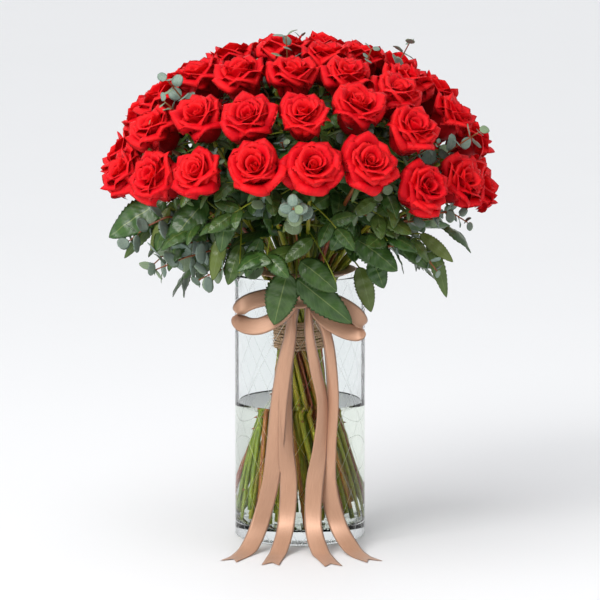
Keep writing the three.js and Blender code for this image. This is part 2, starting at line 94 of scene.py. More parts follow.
def new_piece(name, points, quads, finishes, uv=None, marks=None, finish_of=None):
    """A mesh object from an array of points and an array of quads; a quad whose last two corners
    are the same point is a triangle. uv has one pair for each point, marks one colour, and
    finish_of one material number for each face."""
    mesh = bpy.data.meshes.new(name)
    points = np.asarray(points, float).reshape(-1, 3)
    three = quads[:, 2] == quads[:, 3]
    sides = np.where(three, 3, 4)
    starts = np.concatenate([[0], np.cumsum(sides)[:-1]])
    keep = np.ones(quads.shape, bool)
    keep[three, 3] = False
    corners = quads[keep]
    mesh.vertices.add(len(points))
    mesh.vertices.foreach_set("co", points.ravel())
    mesh.loops.add(len(corners))
    mesh.loops.foreach_set("vertex_index", corners)
    mesh.polygons.add(len(quads))
    mesh.polygons.foreach_set("loop_start", starts)
    mesh.polygons.foreach_set("loop_total", sides)
    mesh.polygons.foreach_set("use_smooth", np.ones(len(quads), bool))
    if finish_of is not None:
        mesh.polygons.foreach_set("material_index", np.asarray(finish_of, np.int32))
    if uv is not None:
        layer = mesh.uv_layers.new(name="Lie")
        layer.data.foreach_set("uv", np.asarray(uv, float)[corners].ravel())
    if marks is not None:
        layer = mesh.attributes.new("mark", "FLOAT_COLOR", "POINT")
        rgba = np.concatenate([np.asarray(marks, float), np.ones((len(points), 1))], 1)
        layer.data.foreach_set("color", rgba.ravel())
    mesh.update(calc_edges=True)
    piece = into_scene(bpy.data.objects.new(name, mesh))
    for finish in finishes:
        mesh.materials.append(finish)
    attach(piece, "root")
    return piece


def unit(vectors):
    """Every vector divided by its own length."""
    return vectors / np.maximum(np.linalg.norm(vectors, axis=-1, keepdims=True), 1e-12)


def smooth(x):
    """The smooth step: 0 below 0, 1 above 1, and an S curve between."""
    x = np.clip(x, 0, 1)
    return x * x * (3 - 2 * x)


class Pile:
    """Gathers many small shapes of points, quads, uv and marks into one mesh."""

    def __init__(self):
        self.points, self.quads, self.uv, self.marks, self.finish, self.count = [], [], [], [], [], 0

    def add(self, points, quads, uv, marks, finish=0):
        """Adds one shape. uv and marks may be one value for the whole shape."""
        points = np.asarray(points, float).reshape(-1, 3)
        self.points.append(points)
        self.quads.append(quads + self.count)
        self.uv.append(np.broadcast_to(uv, (len(points), 2)))
        self.marks.append(np.broadcast_to(marks, (len(points), 3)))
        self.finish.append(np.full(len(quads), finish))
        self.count += len(points)

    def piece(self, name, slot, finishes):
        """One mesh object from all the shapes."""
        join = np.concatenate
        return new_piece(name, join(self.points), join(self.quads), finishes,
                         join(self.uv), join(self.marks), join(self.finish))


# %% [markdown]
# ## Thin things with two sides
# Petals and leaves are thin, but not without thickness: an open sheet has no inside and no
# outside, and a solid printed from it would have no volume. Each one is made as a very flat
# lens: a front grid and a back grid that share their rim.

# %% Lenses
def lens_quads(rows, columns):
    """The faces of a flat lens. The front is the whole grid; the back has points of its own
    inside the rim and borrows the front's rim."""
    front = grid_quads(rows, columns)
    back_number = np.arange(rows * columns).reshape(rows, columns)
    inner = (rows - 2) * (columns - 2)
    back_number[1:-1, 1:-1] = rows * columns + np.arange(inner).reshape(rows - 2, columns - 2)
    back = back_number.ravel()[front][:, ::-1]
    return np.concatenate([front, back])


def lens_points(front, thickness):
    """front is an array [..., rows, columns, 3]. The back lies one thickness behind it, along the
    normal that the cross product of the grid's two directions gives."""
    down = np.gradient(front, axis=-3)
    across = np.gradient(front, axis=-2)
    normal = unit(np.cross(across, down))
    back = (front - normal * thickness)[..., 1:-1, 1:-1, :]
    flat = front.shape[:-3]
    return np.concatenate([front.reshape(*flat, -1, 3), back.reshape(*flat, -1, 3)], -2)


def lens_values(values):
    """The same values for a lens's front and back points, from an array [..., rows, columns, n]."""
    flat = values.shape[:-3]
    inner = values[..., 1:-1, 1:-1, :]
    return np.concatenate([values.reshape(*flat, -1, values.shape[-1]),
                           inner.reshape(*flat, -1, values.shape[-1])], -2)


# %% [markdown]
# ## The camera, the floor and the light
# Small objects look natural through a long lens a few metres away. The floor and the wall are
# plain and pale, so nothing competes with the red. Light comes from a big soft panel at the upper
# left, a weaker one at the right, and the pale room itself.

# %% Camera
VASE_LOW, VASE_HIGH = (np.array(corner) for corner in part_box("vase"))
RIM_HEIGHT = VASE_HIGH[2]
VASE_RADIUS = (VASE_HIGH[0] - VASE_LOW[0]) / 2
CAMERA_DISTANCE = 6.0
CAMERA_RISE = math.radians(9.0)
AIM = Vector((0.0, 0.0, 0.2705))

camera_data = bpy.data.cameras.new("camera")
camera_data.lens = 317.0
camera_data.sensor_width = 36.0
camera_data.clip_end = 100.0
camera = into_scene(bpy.data.objects.new("camera", camera_data))
back_off = Vector((0.0, -math.cos(CAMERA_RISE), math.sin(CAMERA_RISE)))
camera.location = AIM + CAMERA_DISTANCE * back_off
camera.rotation_euler = (AIM - camera.location).to_track_quat("-Z", "Y").to_euler()
bpy.context.scene.camera = camera

view = bpy.context.scene.view_settings
view.view_transform = "Standard"
view.look = "None"
view.exposure = 0.0
print("camera:", CAMERA_DISTANCE, "m away, lens", camera_data.lens, "mm")

# %% Floor
def plain_finish(name, colour, roughness):
    """A matt finish whose colour varies very slightly over the surface, as paint does."""
    finish = bpy.data.materials.new(name)
    finish.use_nodes = True
    nodes, links = finish.node_tree.nodes, finish.node_tree.links
    shader = nodes["Principled BSDF"]
    where = nodes.new("ShaderNodeTexCoord")
    noise = nodes.new("ShaderNodeTexNoise")
    noise.inputs["Scale"].default_value = 3.0
    ramp = nodes.new("ShaderNodeMixRGB")
    ramp.inputs["Color1"].default_value = (*[c * 0.985 for c in colour], 1)
    ramp.inputs["Color2"].default_value = (*colour, 1)
    links.new(where.outputs["Object"], noise.inputs["Vector"])
    links.new(noise.outputs["Fac"], ramp.inputs["Fac"])
    links.new(ramp.outputs["Color"], shader.inputs["Base Color"])
    shader.inputs["Roughness"].default_value = roughness
    return finish


FLOOR_REACH = 12.0
FLOOR_SIDES = 96
floor_angle = np.linspace(0, 2 * np.pi, FLOOR_SIDES + 1)[:-1]
floor_radius = np.array([0.0, 0.6, 2.0, FLOOR_REACH])
floor_points = np.stack([floor_radius[:, None] * np.cos(floor_angle),
                         floor_radius[:, None] * np.sin(floor_angle),
                         np.zeros((4, FLOOR_SIDES))], -1)
floor_mesh = bpy.data.meshes.new("floor")
floor_faces = grid_quads(4, FLOOR_SIDES, closed=True)[FLOOR_SIDES:].tolist()
floor_faces.append(list(range(FLOOR_SIDES, 2 * FLOOR_SIDES)))
floor_mesh.from_pydata(floor_points.reshape(-1, 3).tolist(), [], floor_faces)
floor_mesh.materials.append(plain_finish("floor_paint", (0.85, 0.854, 0.862), 0.6))
floor = into_scene(bpy.data.objects.new("floor", floor_mesh))
floor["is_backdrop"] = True
print("floor: a disc of", 2 * FLOOR_REACH, "m")


# %% Light
def soft_panel(name, place, aim, size, power, colour=(1, 1, 1)):
    """A square area light that looks at a point."""
    data = bpy.data.lights.new(name, "AREA")
    data.shape = "RECTANGLE"
    data.size, data.size_y = size
    data.energy = power
    data.color = colour
    panel = into_scene(bpy.data.objects.new(name, data))
    panel.location = place
    panel.rotation_euler = (Vector(aim) - Vector(place)).to_track_quat("-Z", "Y").to_euler()
    print(name, "panel:", power, "W")


soft_panel("key", (-1.7, -2.1, 2.2), (0, 0, 0.35), (1.5, 1.5), 56, (1.0, 0.985, 0.965))
soft_panel("fill", (2.6, -2.0, 1.3), (0, 0, 0.3), (1.6, 1.6), 8)

sun_data = bpy.data.lights.new("room_light", "SUN")
sun_data.energy = 1.4
sun_data.angle = math.radians(65)
sun = into_scene(bpy.data.objects.new("room_light", sun_data))
sun.rotation_euler = Vector((0.45, 0.5, -1.0)).to_track_quat("-Z", "Y").to_euler()
print("room light:", sun_data.energy, "over", round(math.degrees(sun_data.angle)), "degrees")

# %% [markdown]
# The room is pale behind the bunch and darker in front and at the sides. Clear glass has no
# colour of its own: its edges show only because they bend in the darker sides of the room, and
# what stands inside keeps its depth because little light is mirrored in the front of the glass.

# %% Room
world = bpy.data.worlds.new("room")
world.use_nodes = True
room_nodes, room_links = world.node_tree.nodes, world.node_tree.links
direction = room_nodes.new("ShaderNodeTexCoord")
axes = room_nodes.new("ShaderNodeSeparateXYZ")
room_links.new(direction.outputs["Generated"], axes.inputs["Vector"])


def room_mix(factor, first, second):
    """A colour mix whose inputs are sockets or plain colours."""
    mix = room_nodes.new("ShaderNodeMixRGB")
    room_links.new(factor, mix.inputs["Fac"])
    for socket, value in zip((mix.inputs["Color1"], mix.inputs["Color2"]), (first, second)):
        if isinstance(value, tuple):
            socket.default_value = (*value, 1)
        else:
            room_links.new(value, socket)
    return mix.outputs["Color"]


behind = room_nodes.new("ShaderNodeMapRange")
behind.inputs["From Min"].default_value = -0.6
behind.inputs["From Max"].default_value = 0.5
room_links.new(axes.outputs["Y"], behind.inputs["Value"])
sideways = room_nodes.new("ShaderNodeMath")
sideways.operation = "MULTIPLY"
room_links.new(axes.outputs["X"], sideways.inputs[0])
room_links.new(axes.outputs["X"], sideways.inputs[1])
depth = room_mix(behind.outputs["Result"], (0.34, 0.345, 0.36), (0.85, 0.86, 0.875))
lit = room_mix(sideways.outputs[0], depth, (0.52, 0.525, 0.54))
seen = room_nodes.new("ShaderNodeLightPath")
shown = room_mix(seen.outputs["Is Camera Ray"], lit, (0.84, 0.85, 0.865))
room_links.new(shown, room_nodes["Background"].inputs["Color"])
bpy.context.scene.world = world
print("room nodes:", len(room_nodes))

# %% [markdown]
# ## Reading the bunch from the CAD model
# Each rose in the CAD model is a straight lower stem, a bend, and a faceted cup. The cup ends in
# a point, where eight facets meet: no other point of the solid has eight triangles and eight
# equally distant neighbours. That point and the ring around it give the bloom's place, the way it
# looks, and its size. The stems are cut at two heights between the water and the twine.

# %% Bloom and stem finder
CROWN_RISE = 21.0 * MM
CROWN_SHARE = 0.9
BLOOM_SIDES = 8
STEM_CUTS = (0.120, 0.246)
UPWARD = 0.45


def merged_mesh(node):
    """The node's points with doubles joined, and its triangles."""
    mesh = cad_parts[node].data
    points = np.empty(len(mesh.vertices) * 3)
    mesh.vertices.foreach_get("co", points)
    points = points.reshape(-1, 3)
    mesh.calc_loop_triangles()
    triangles = np.empty(len(mesh.loop_triangles) * 3, np.int32)
    mesh.loop_triangles.foreach_get("vertices", triangles)
    unique, number = np.unique(np.round(points, 6), axis=0, return_inverse=True)
    triangles = number.ravel()[triangles].reshape(-1, 3)
    whole = (triangles[:, 0] != triangles[:, 1]) & (triangles[:, 1] != triangles[:, 2])
    return unique, triangles[whole & (triangles[:, 0] != triangles[:, 2])]


def crowns(points, triangles):
    """Every bloom of a solid: its centre, its axis and its half width."""
    uses = np.bincount(triangles.ravel(), minlength=len(points))
    found = []
    for tip in np.flatnonzero(uses == BLOOM_SIDES):
        around = np.unique(triangles[(triangles == tip).any(1)])
        around = points[around[around != tip]]
        reach = np.linalg.norm(around - points[tip], axis=1)
        if len(around) == BLOOM_SIDES and np.ptp(reach) < 0.02 * reach.mean() and reach.mean() > 0.015:
            middle = around.mean(0)
            axis = unit(points[tip] - middle)
            half = np.linalg.norm(around - middle, axis=1).mean() / CROWN_SHARE
            found.append((points[tip] - axis * CROWN_RISE, axis, half))
    return found


def cut_centres(points, triangles, height, count):
    """The middles of the stems where a level plane cuts them."""
    corner = points[triangles]
    side = corner[:, :, 2] > height
    crossing = corner[side.any(1) & ~side.all(1)]
    middle = []
    for a, b in ((0, 1), (1, 2), (2, 0)):
        rise = crossing[:, b, 2] - crossing[:, a, 2]
        share = (height - crossing[:, a, 2]) / np.where(rise == 0, 1, rise)
        here = (share > 0) & (share < 1) & (rise != 0)
        middle.append((crossing[:, a] + (crossing[:, b] - crossing[:, a]) * share[:, None])[here])
    middle = np.unique(np.round(np.concatenate(middle), 6), axis=0)
    centres = [middle[0]]
    while len(centres) < count:
        away = np.min([np.linalg.norm(middle - c, axis=1) for c in centres], axis=0)
        centres.append(middle[away.argmax()])
    for _ in range(12):
        owner = np.argmin([np.linalg.norm(middle - c, axis=1) for c in centres], axis=0)
        centres = [(middle[owner == k].min(0) + middle[owner == k].max(0)) / 2 for k in range(count)]
    return centres


roses = []
stems = []
for node in sorted(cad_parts):
    if not node.startswith("rose_"):
        continue
    points, triangles = merged_mesh(node)
    blooms = crowns(points, triangles)
    for centre, axis, half in blooms:
        axis = unit(axis + [0, 0, UPWARD * max(0.0, axis[2])])
        roses.append({"node": node, "centre": centre, "axis": axis, "half": half})
    cuts = [cut_centres(points, triangles, height, len(blooms)) for height in STEM_CUTS]
    stems.append({"node": node, "cuts": cuts, "blooms": len(blooms)})
print("blooms found:", len(roses), "in", len(stems), "solids;",
      "half widths", round(min(r["half"] for r in roses) * 1000, 1), "to",
      round(max(r["half"] for r in roses) * 1000, 1), "mm")

# %% [markdown]
# ## Petals
# A rose bloom is some thirty petals on a spiral, each turned 137.5 degrees from the last. The
# inner ones are rolled up into a bud, the middle ones stand up round it, and the outer ones lean
# out and roll their lips back, which is what gives the rose its rings of bright edges. A petal is
# bent like a strip of card: along its length its direction starts outwards, turns upwards, and
# rolls over at the lip. Adding up these directions gives its side view, and the width is then
# wrapped round the bloom's axis.

# %% Petal surfaces
PETAL_ROWS, PETAL_COLUMNS = 15, 11
PETAL_THICKNESS = 0.35 * MM
GOLDEN_TURN = math.radians(137.508)


def petals(count, openness, seed):
    """Points [count, rows, columns, 3] of a bloom's petals in its own frame, with +Z out of the
    bloom and the centre at the widest place, in metres, for a bloom of about 28 mm half width.
    t runs from 0 at the heart to 1 outside, v along a petal and u across it. A petal's direction
    in side view starts at foot degrees, turns to side by half its length, and to lip beyond
    lip_start. Height z and distance r from the axis are the running sums of the direction's sine
    and cosine. Half the width divided by r is the angle that the petal takes up round the axis."""
    random = np.random.default_rng(seed)
    t = (np.arange(count) / (count - 1))[:, None, None]
    v = np.linspace(0, 1, PETAL_ROWS)[None, :, None]
    u = np.linspace(-1, 1, PETAL_COLUMNS)[None, None, :]
    loose = openness * t ** 1.15
    jitter = random.normal(0, 1, (4, count, 1, 1))
    foot = 82 - 66 * loose ** 0.8 + 3 * jitter[0]
    side = 99 - 19 * loose + 3 * jitter[1]
    lip = side - 8 - 96 * loose ** 1.35 - 72 * loose * np.abs(u) ** 2 + 14 * t * jitter[2]
    lip_start = 0.82 - 0.08 * loose - 0.14 * loose * np.abs(u) ** 1.8
    angle = foot + (side - foot) * smooth(v / 0.5) + (lip - side) * smooth((v - lip_start) / (1 - lip_start))
    angle = np.radians(np.broadcast_to(angle, (count, PETAL_ROWS, PETAL_COLUMNS)))
    length = (37 + 13 * smooth(t / 0.6) - t) * (1 + 0.04 * jitter[3])
    length = length * (1 - 0.20 * np.abs(u) ** 2.2 + 0.06 * t * np.exp(-(u / 0.16) ** 2))
    step = length / (PETAL_ROWS - 1)
    r = 1.2 + 3.0 * t + np.cumsum(np.cos(angle) * step, 1) - np.cos(angle[:, :1]) * step
    z = -23 + 2.5 * t + np.cumsum(np.sin(angle) * step, 1) - np.sin(angle[:, :1]) * step
    half_width = (12 + 11 * smooth(t / 0.6)) * (0.34 + 0.66 * smooth(v / 0.6) - 0.1 * smooth((v - 0.8) / 0.2))
    wrap = np.minimum(half_width / np.maximum(r, 2.4), 2.1)
    r = r + (0.8 + 0.9 * t) * u * smooth(v / 0.3)
    phase = random.uniform(0, 6.28, (count, 1, 1))
    r = r + 0.9 * t * v ** 3 * np.sin(4.0 * u + phase)
    z = z + 0.8 * t * v ** 3 * np.cos(3.3 * u + 2 * phase)
    r = np.maximum(r, 0.35)
    turn = GOLDEN_TURN * np.arange(count)[:, None, None] + np.radians(4) * jitter[0] + u * wrap
    points = np.stack([r * np.cos(turn), r * np.sin(turn), np.broadcast_to(z, r.shape)], -1)
    return points * MM


print("a petal's grid:", PETAL_ROWS, "by", PETAL_COLUMNS, "points")

# %% [markdown]
# The petals are made once for a bloom that looks straight up. A turn and a move then bring them to
# their rose: the turn's three columns are two directions across the rose's axis, and the axis.

# %% One bloom
def frame_of(axis, spin):
    """Three columns: two directions across an axis, turned by spin, and the axis."""
    helper = np.array([0.0, 0.0, 1.0]) if abs(axis[2]) < 0.9 else np.array([0.0, 1.0, 0.0])
    across = unit(np.cross(helper, axis))
    other = np.cross(axis, across)
    first = across * math.cos(spin) + other * math.sin(spin)
    return np.stack([first, np.cross(axis, first), axis], 1)


PETAL_COUNT = 33
petal_quads = lens_quads(PETAL_ROWS, PETAL_COLUMNS)
petal_points = PETAL_ROWS * PETAL_COLUMNS + (PETAL_ROWS - 2) * (PETAL_COLUMNS - 2)


def bloom_arrays(rose, number):
    """The petals of one rose in the shared frame, with uv and marks: how far out the petal sits,
    how far along it the point is, and a number of the petal's own."""
    random = np.random.default_rng(900 + number)
    openness = random.uniform(0.86, 1.04)
    front = petals(PETAL_COUNT, openness, 40 + number)
    scale = rose["half"] / (28.5 * MM) * random.uniform(1.06, 1.14)
    turn = frame_of(rose["axis"], random.uniform(0, 6.28))
    solid = lens_points(front, PETAL_THICKNESS) * scale
    points = solid.reshape(-1, 3) @ turn.T + rose["centre"]
    shape = (PETAL_COUNT, PETAL_ROWS, PETAL_COLUMNS)
    v = np.broadcast_to(np.linspace(0, 1, PETAL_ROWS)[None, :, None], shape)
    u = np.broadcast_to(np.linspace(0, 1, PETAL_COLUMNS)[None, None, :], shape)
    t = np.broadcast_to((np.arange(PETAL_COUNT) / (PETAL_COUNT - 1))[:, None, None], shape)
    own = np.broadcast_to(random.uniform(0, 1, (PETAL_COUNT, 1, 1)), shape)
    uv = lens_values(np.stack([u, v], -1)).reshape(-1, 2)
    marks = lens_values(np.stack([t, v, own], -1)).reshape(-1, 3)
    quads = (petal_quads[None] + (np.arange(PETAL_COUNT) * petal_points)[:, None, None]).reshape(-1, 4)
    return points, quads, uv, marks


# %% [markdown]
# ## Red velvet
# A petal's upper skin is made of tiny cones, which swallow light at the front and catch it at the
# edge: so red petals look like velvet, bright at the lips and nearly black in the folds. A
# principled shader with some sheen gives part of that, and the rest is painted into the colour.
# Colour follows each petal: a pale claw at the very foot, then a near-black red that is partly the
# petal's deeper foot and partly painted shade of the folds, and towards the lip an orange-red
# painted highlight; each petal is a little different.

# %% Helpers for every finish
def finish_with(name):
    """A new material, its nodes, its links and its main shader."""
    finish = bpy.data.materials.new(name)
    finish.use_nodes = True
    tree = finish.node_tree
    return finish, tree.nodes, tree.links, tree.nodes["Principled BSDF"]


def ramp_node(nodes, stops):
    """A colour ramp with the given places and colours."""
    ramp = nodes.new("ShaderNodeValToRGB")
    elements = ramp.color_ramp.elements
    while len(elements) < len(stops):
        elements.new(0.5)
    for element, (place, colour) in zip(elements, stops):
        element.position = place
        element.color = (*colour, 1)
    return ramp


def math_node(nodes, links, operation, first, second=None, third=None):
    """A math node fed by sockets or plain numbers."""
    node = nodes.new("ShaderNodeMath")
    node.operation = operation
    for socket, value in zip(node.inputs, (first, second, third)):
        if value is None:
            continue
        if isinstance(value, (int, float)):
            socket.default_value = value
        else:
            links.new(value, socket)
    return node.outputs[0]


def mark_parts(nodes, links):
    """The piece's mark, and the same split into red, green and blue."""
    mark = nodes.new("ShaderNodeAttribute")
    mark.attribute_name = "mark"
    parts = nodes.new("ShaderNodeSeparateColor")
    links.new(mark.outputs["Color"], parts.inputs["Color"])
    return mark, parts


def lie_noise(nodes, links, stretch, scale, detail):
    """Noise on the piece's own uv, stretched by a number across and a number along it."""
    lie = nodes.new("ShaderNodeUVMap")
    lie.uv_map = "Lie"
    mapping = nodes.new("ShaderNodeMapping")
    mapping.inputs["Scale"].default_value = (*stretch, 1)
    links.new(lie.outputs["UV"], mapping.inputs["Vector"])
    noise = nodes.new("ShaderNodeTexNoise")
    noise.inputs["Scale"].default_value = scale
    noise.inputs["Detail"].default_value = detail
    links.new(mapping.outputs["Vector"], noise.inputs["Vector"])
    return noise


def mixed(nodes, links, factor, first, second):
    """first turned into a plain second colour by a factor; first and factor are sockets."""
    mix = nodes.new("ShaderNodeMixRGB")
    mix.inputs["Color2"].default_value = (*second, 1)
    links.new(factor, mix.inputs["Fac"])
    links.new(first, mix.inputs["Color1"])
    return mix.outputs["Color"]


def raised(nodes, links, height, strength, distance, shaders, cut=False):
    """A bump that a height gives to some shaders; cut turns it into a groove."""
    bump = nodes.new("ShaderNodeBump")
    bump.inputs["Strength"].default_value = strength
    bump.inputs["Distance"].default_value = distance
    bump.invert = cut
    links.new(height, bump.inputs["Height"])
    for shader in shaders:
        links.new(bump.outputs["Normal"], shader.inputs["Normal"])


# %% Petal finish
def petal_finish():
    """Red with painted light along the petal: near-black towards the foot, partly its own deeper red and
    partly painted shade, and an orange-red painted highlight at the lip; fine veins along the petal and some
    sheen.
    """
    finish, nodes, links, shader = finish_with("rose_petal")
    _, parts = mark_parts(nodes, links)
    veins = lie_noise(nodes, links, (34, 1.6), 1.0, 3.0)
    along = math_node(nodes, links, "ADD", parts.outputs["Green"],
                      math_node(nodes, links, "MULTIPLY_ADD", veins.outputs["Fac"], 0.24, -0.12))
    along = math_node(nodes, links, "ADD", along,
                      math_node(nodes, links, "MULTIPLY_ADD", parts.outputs["Blue"], 0.16, -0.08))
    # The ramp runs from a pale claw at the foot through near-black red, partly the petal's deeper foot and
    # partly painted shade of the folds, to an orange-red painted highlight at the lip.
    ramp = ramp_node(nodes, [(0.0, (0.20, 0.08, 0.015)), (0.1, (0.17, 0.0005, 0.002)),
                             (0.55, (0.44, 0.0008, 0.005)), (0.85, (0.68, 0.003, 0.011)),
                             (1.0, (0.88, 0.014, 0.018))])
    links.new(along, ramp.inputs["Fac"])
    links.new(ramp.outputs["Color"], shader.inputs["Base Color"])
    shader.inputs["Roughness"].default_value = 0.5
    shader.inputs["Specular IOR Level"].default_value = 0.1
    shader.inputs["Sheen Weight"].default_value = 0.05
    shader.inputs["Sheen Roughness"].default_value = 0.35
    shader.inputs["Sheen Tint"].default_value = (1.0, 0.12, 0.14, 1)
    shader.inputs["Subsurface Weight"].default_value = 0.12
    shader.inputs["Subsurface Radius"].default_value = (1.0, 0.06, 0.04)
    shader.inputs["Subsurface Scale"].default_value = 1.2 * MM
    raised(nodes, links, veins.outputs["Fac"], 0.25, 0.3 * MM, [shader])
    return finish


# %% Blooms
PETAL = petal_finish()
for number, rose in enumerate(roses):
    points, quads, uv, marks = bloom_arrays(rose, number)
    bloom = new_piece(f"bloom_{number + 1:02d}", points, quads, [PETAL], uv, marks)
    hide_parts(rose["node"])
print("petals:", PETAL_COUNT * len(roses), "triangles in a bloom:", 2 * PETAL_COUNT * len(petal_quads))

# %% [markdown]
# ## Stems
# A cut rose stem is a green rod with swollen joints and a few thorns, brown-red where the sun
# reached it. In the tied bunch the stems cross at the twine, straight from foot to tie, and only
# above the rim do they bend out to their blooms. The straight part is read from the two cuts. The
# bend is one smooth curve that leaves along the straight part and arrives along the bloom's axis.

# %% Stem paths
TIE_LOW, TIE_HIGH = (np.array(corner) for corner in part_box("jute_binding"))
BEND_BOTTOM = TIE_HIGH[2]
BEND_TOP = RIM_HEIGHT + 20 * MM
BLOOM_FOOT = 22.0 * MM
ARRIVE_SHARE = 0.3


def at_height(cut_low, cut_high, height):
    """The point of the straight line through two cuts at the given height."""
    return cut_low + (cut_high - cut_low) * (height - cut_low[2]) / (cut_high[2] - cut_low[2])


def bend(cut_low, cut_high, end, axis, arch=0.0, steps=16):
    """The smooth curve from the tie to the end of a stem. A stem that hangs over the rim first
    arches higher."""
    start = at_height(cut_low, cut_high, BEND_BOTTOM)
    leave = at_height(cut_low, cut_high, BEND_TOP + arch)
    arrive = end - axis * ARRIVE_SHARE * np.linalg.norm(end - leave) + [0, 0, arch]
    s = np.linspace(0, 1, steps)[:, None]
    return ((1 - s) ** 3 * start + 3 * s * (1 - s) ** 2 * leave
            + 3 * s ** 2 * (1 - s) * arrive + s ** 3 * end)


def stem_path(points, cut_low, cut_high, end, axis, arch=0.0):
    """Foot, straight part and bend of one stem, as an array of points."""
    low_line = at_height(cut_low, cut_high, points[:, 2:3])
    near = points[np.linalg.norm(points - low_line, axis=1) < 4.5 * MM]
    foot = at_height(cut_low, cut_high, near[:, 2].min())
    straight = at_height(cut_low, cut_high, np.linspace(foot[2], BEND_BOTTOM, 14)[:-1, None])
    return np.concatenate([straight, bend(cut_low, cut_high, end, axis, arch)])


def farness(points, curve):
    """How far a solid's points above the tie are from a curve, on average."""
    high = points[points[:, 2] > BEND_BOTTOM]
    gap = np.linalg.norm(high[None] - curve[:, None], axis=2)
    return gap.min(1).mean()


paths = []
for stem in stems:
    heads = [rose for rose in roses if rose["node"] == stem["node"]]
    points, _ = merged_mesh(stem["node"])
    low, high = (np.array(cut) for cut in stem["cuts"])
    best = None
    for order in itertools.permutations(range(len(heads))):
        for match in itertools.permutations(range(len(heads))):
            score = 0.0
            for k, head in enumerate(heads[n] for n in order):
                end = head["centre"] - head["axis"] * BLOOM_FOOT
                score += farness(points, bend(low[k], high[match[k]], end, head["axis"]))
                score += np.linalg.norm(high[match[k]][:2] - low[k][:2])
            if best is None or score < best[0]:
                best = (score, order, match)
    for k in range(len(heads)):
        head = heads[best[1][k]]
        end = head["centre"] - head["axis"] * BLOOM_FOOT
        paths.append({"node": stem["node"], "head": head,
                      "path": stem_path(points, low[k], high[best[2][k]], end, head["axis"])})
print("stem paths:", len(paths), "lowest foot", round(min(p["path"][0, 2] for p in paths) * 1000, 1), "mm")


# %% [markdown]
# A tube needs a ring of points at every step, and the rings must not twist against each other.
# So the first ring's direction is carried along the path, each time made square to the new
# direction. Both ends are closed with a point in the middle.

# %% Tubes
def metres_along(path):
    """How far along a path each of its points is: the sum of the steps before it."""
    steps = np.linalg.norm(np.diff(path, axis=0), axis=1)
    return np.concatenate([[0], np.cumsum(steps)])


def capped_quads(rows, sides):
    """The faces of a grid that is closed round and has a fan of triangles at each end. The two
    fans' middles are the last two points."""
    count = rows * sides
    here = np.arange(sides)
    after = (here + 1) % sides
    first = np.stack([after, here, np.full(sides, count), np.full(sides, count)], 1)
    top = count - sides
    last = np.stack([top + here, top + after, np.full(sides, count + 1), np.full(sides, count + 1)], 1)
    return np.concatenate([grid_quads(rows, sides, closed=True), first, last])


def tube(path, radius, sides):
    """Points, quads and uv of a closed tube. v counts metres along it, u goes round it."""
    path = np.asarray(path, float)
    radius = np.broadcast_to(radius, len(path))
    along = unit(np.gradient(path, axis=0))
    side = np.zeros_like(path)
    helper = np.array([1.0, 0.0, 0.0]) if abs(along[0, 0]) < 0.8 else np.array([0.0, 0.0, 1.0])
    side[0] = unit(helper - along[0] * (helper @ along[0]))
    for i in range(1, len(path)):
        side[i] = unit(side[i - 1] - along[i] * (side[i - 1] @ along[i]))
    other = np.cross(along, side)
    angle = np.arange(sides) * 2 * np.pi / sides
    ring = (side[:, None] * np.cos(angle)[None, :, None] + other[:, None] * np.sin(angle)[None, :, None])
    skin = path[:, None] + ring * radius[:, None, None]
    points = np.concatenate([skin.reshape(-1, 3), path[:1], path[-1:]])
    metres = metres_along(path)
    share = np.arange(sides) / sides
    uv = np.stack([np.tile(share, (len(path), 1)), np.tile(metres[:, None], (1, sides))], -1)
    uv = np.concatenate([uv.reshape(-1, 2), [[0.5, 0], [0.5, metres[-1]]]])
    return points, capped_quads(len(path), sides), uv


def resample(path, gap):
    """The same path with points a given distance apart."""
    metres = metres_along(path)
    new = np.linspace(0, metres[-1], max(int(metres[-1] / gap), 2) + 1)
    return np.stack([np.interp(new, metres, path[:, k]) for k in range(3)], 1), new


# %% Stem finish
def stem_finish():
    """Green skin with brown-red streaks along it and dark flecks; mark's red is the stem's own
    hue and its blue is 1 on a fresh cut."""
    finish, nodes, links, shader = finish_with("rose_stem")
    _, parts = mark_parts(nodes, links)
    streaks = lie_noise(nodes, links, (5, 26), 1.4, 4.0)
    place = math_node(nodes, links, "ADD", parts.outputs["Red"],
                      math_node(nodes, links, "MULTIPLY_ADD", streaks.outputs["Fac"], 0.9, -0.45))
    ramp = ramp_node(nodes, [(0.0, (0.075, 0.13, 0.004)), (0.3, (0.20, 0.25, 0.008)),
                             (0.55, (0.30, 0.24, 0.012)), (0.8, (0.30, 0.10, 0.018)),
                             (1.0, (0.20, 0.035, 0.016))])
    links.new(place, ramp.inputs["Fac"])
    fresh = mixed(nodes, links, parts.outputs["Blue"], ramp.outputs["Color"], (0.55, 0.52, 0.30))
    links.new(fresh, shader.inputs["Base Color"])
    shader.inputs["Roughness"].default_value = 0.42
    raised(nodes, links, streaks.outputs["Fac"], 0.3, 0.4 * MM, [shader])
    return finish


# %% [markdown]
# ## Leaves
# A rose leaflet is an oval with a saw-toothed edge, folded a little along its midrib, arched
# along its length, dark and glossy on top and pale below. The grid's every second row is drawn in
# at the edge, which cuts the teeth. A silver-dollar eucalyptus leaf is the same surface with a
# round outline and no teeth.

# %% Leaf surfaces
FRONT_LEAF_GRID = (29, 9)
ROSE_LEAF_GRID = (17, 7)
HIDDEN_LEAF_GRID = (11, 5)
ROUND_LEAF_GRID = (11, 7)
SEPAL_GRID = (9, 5)


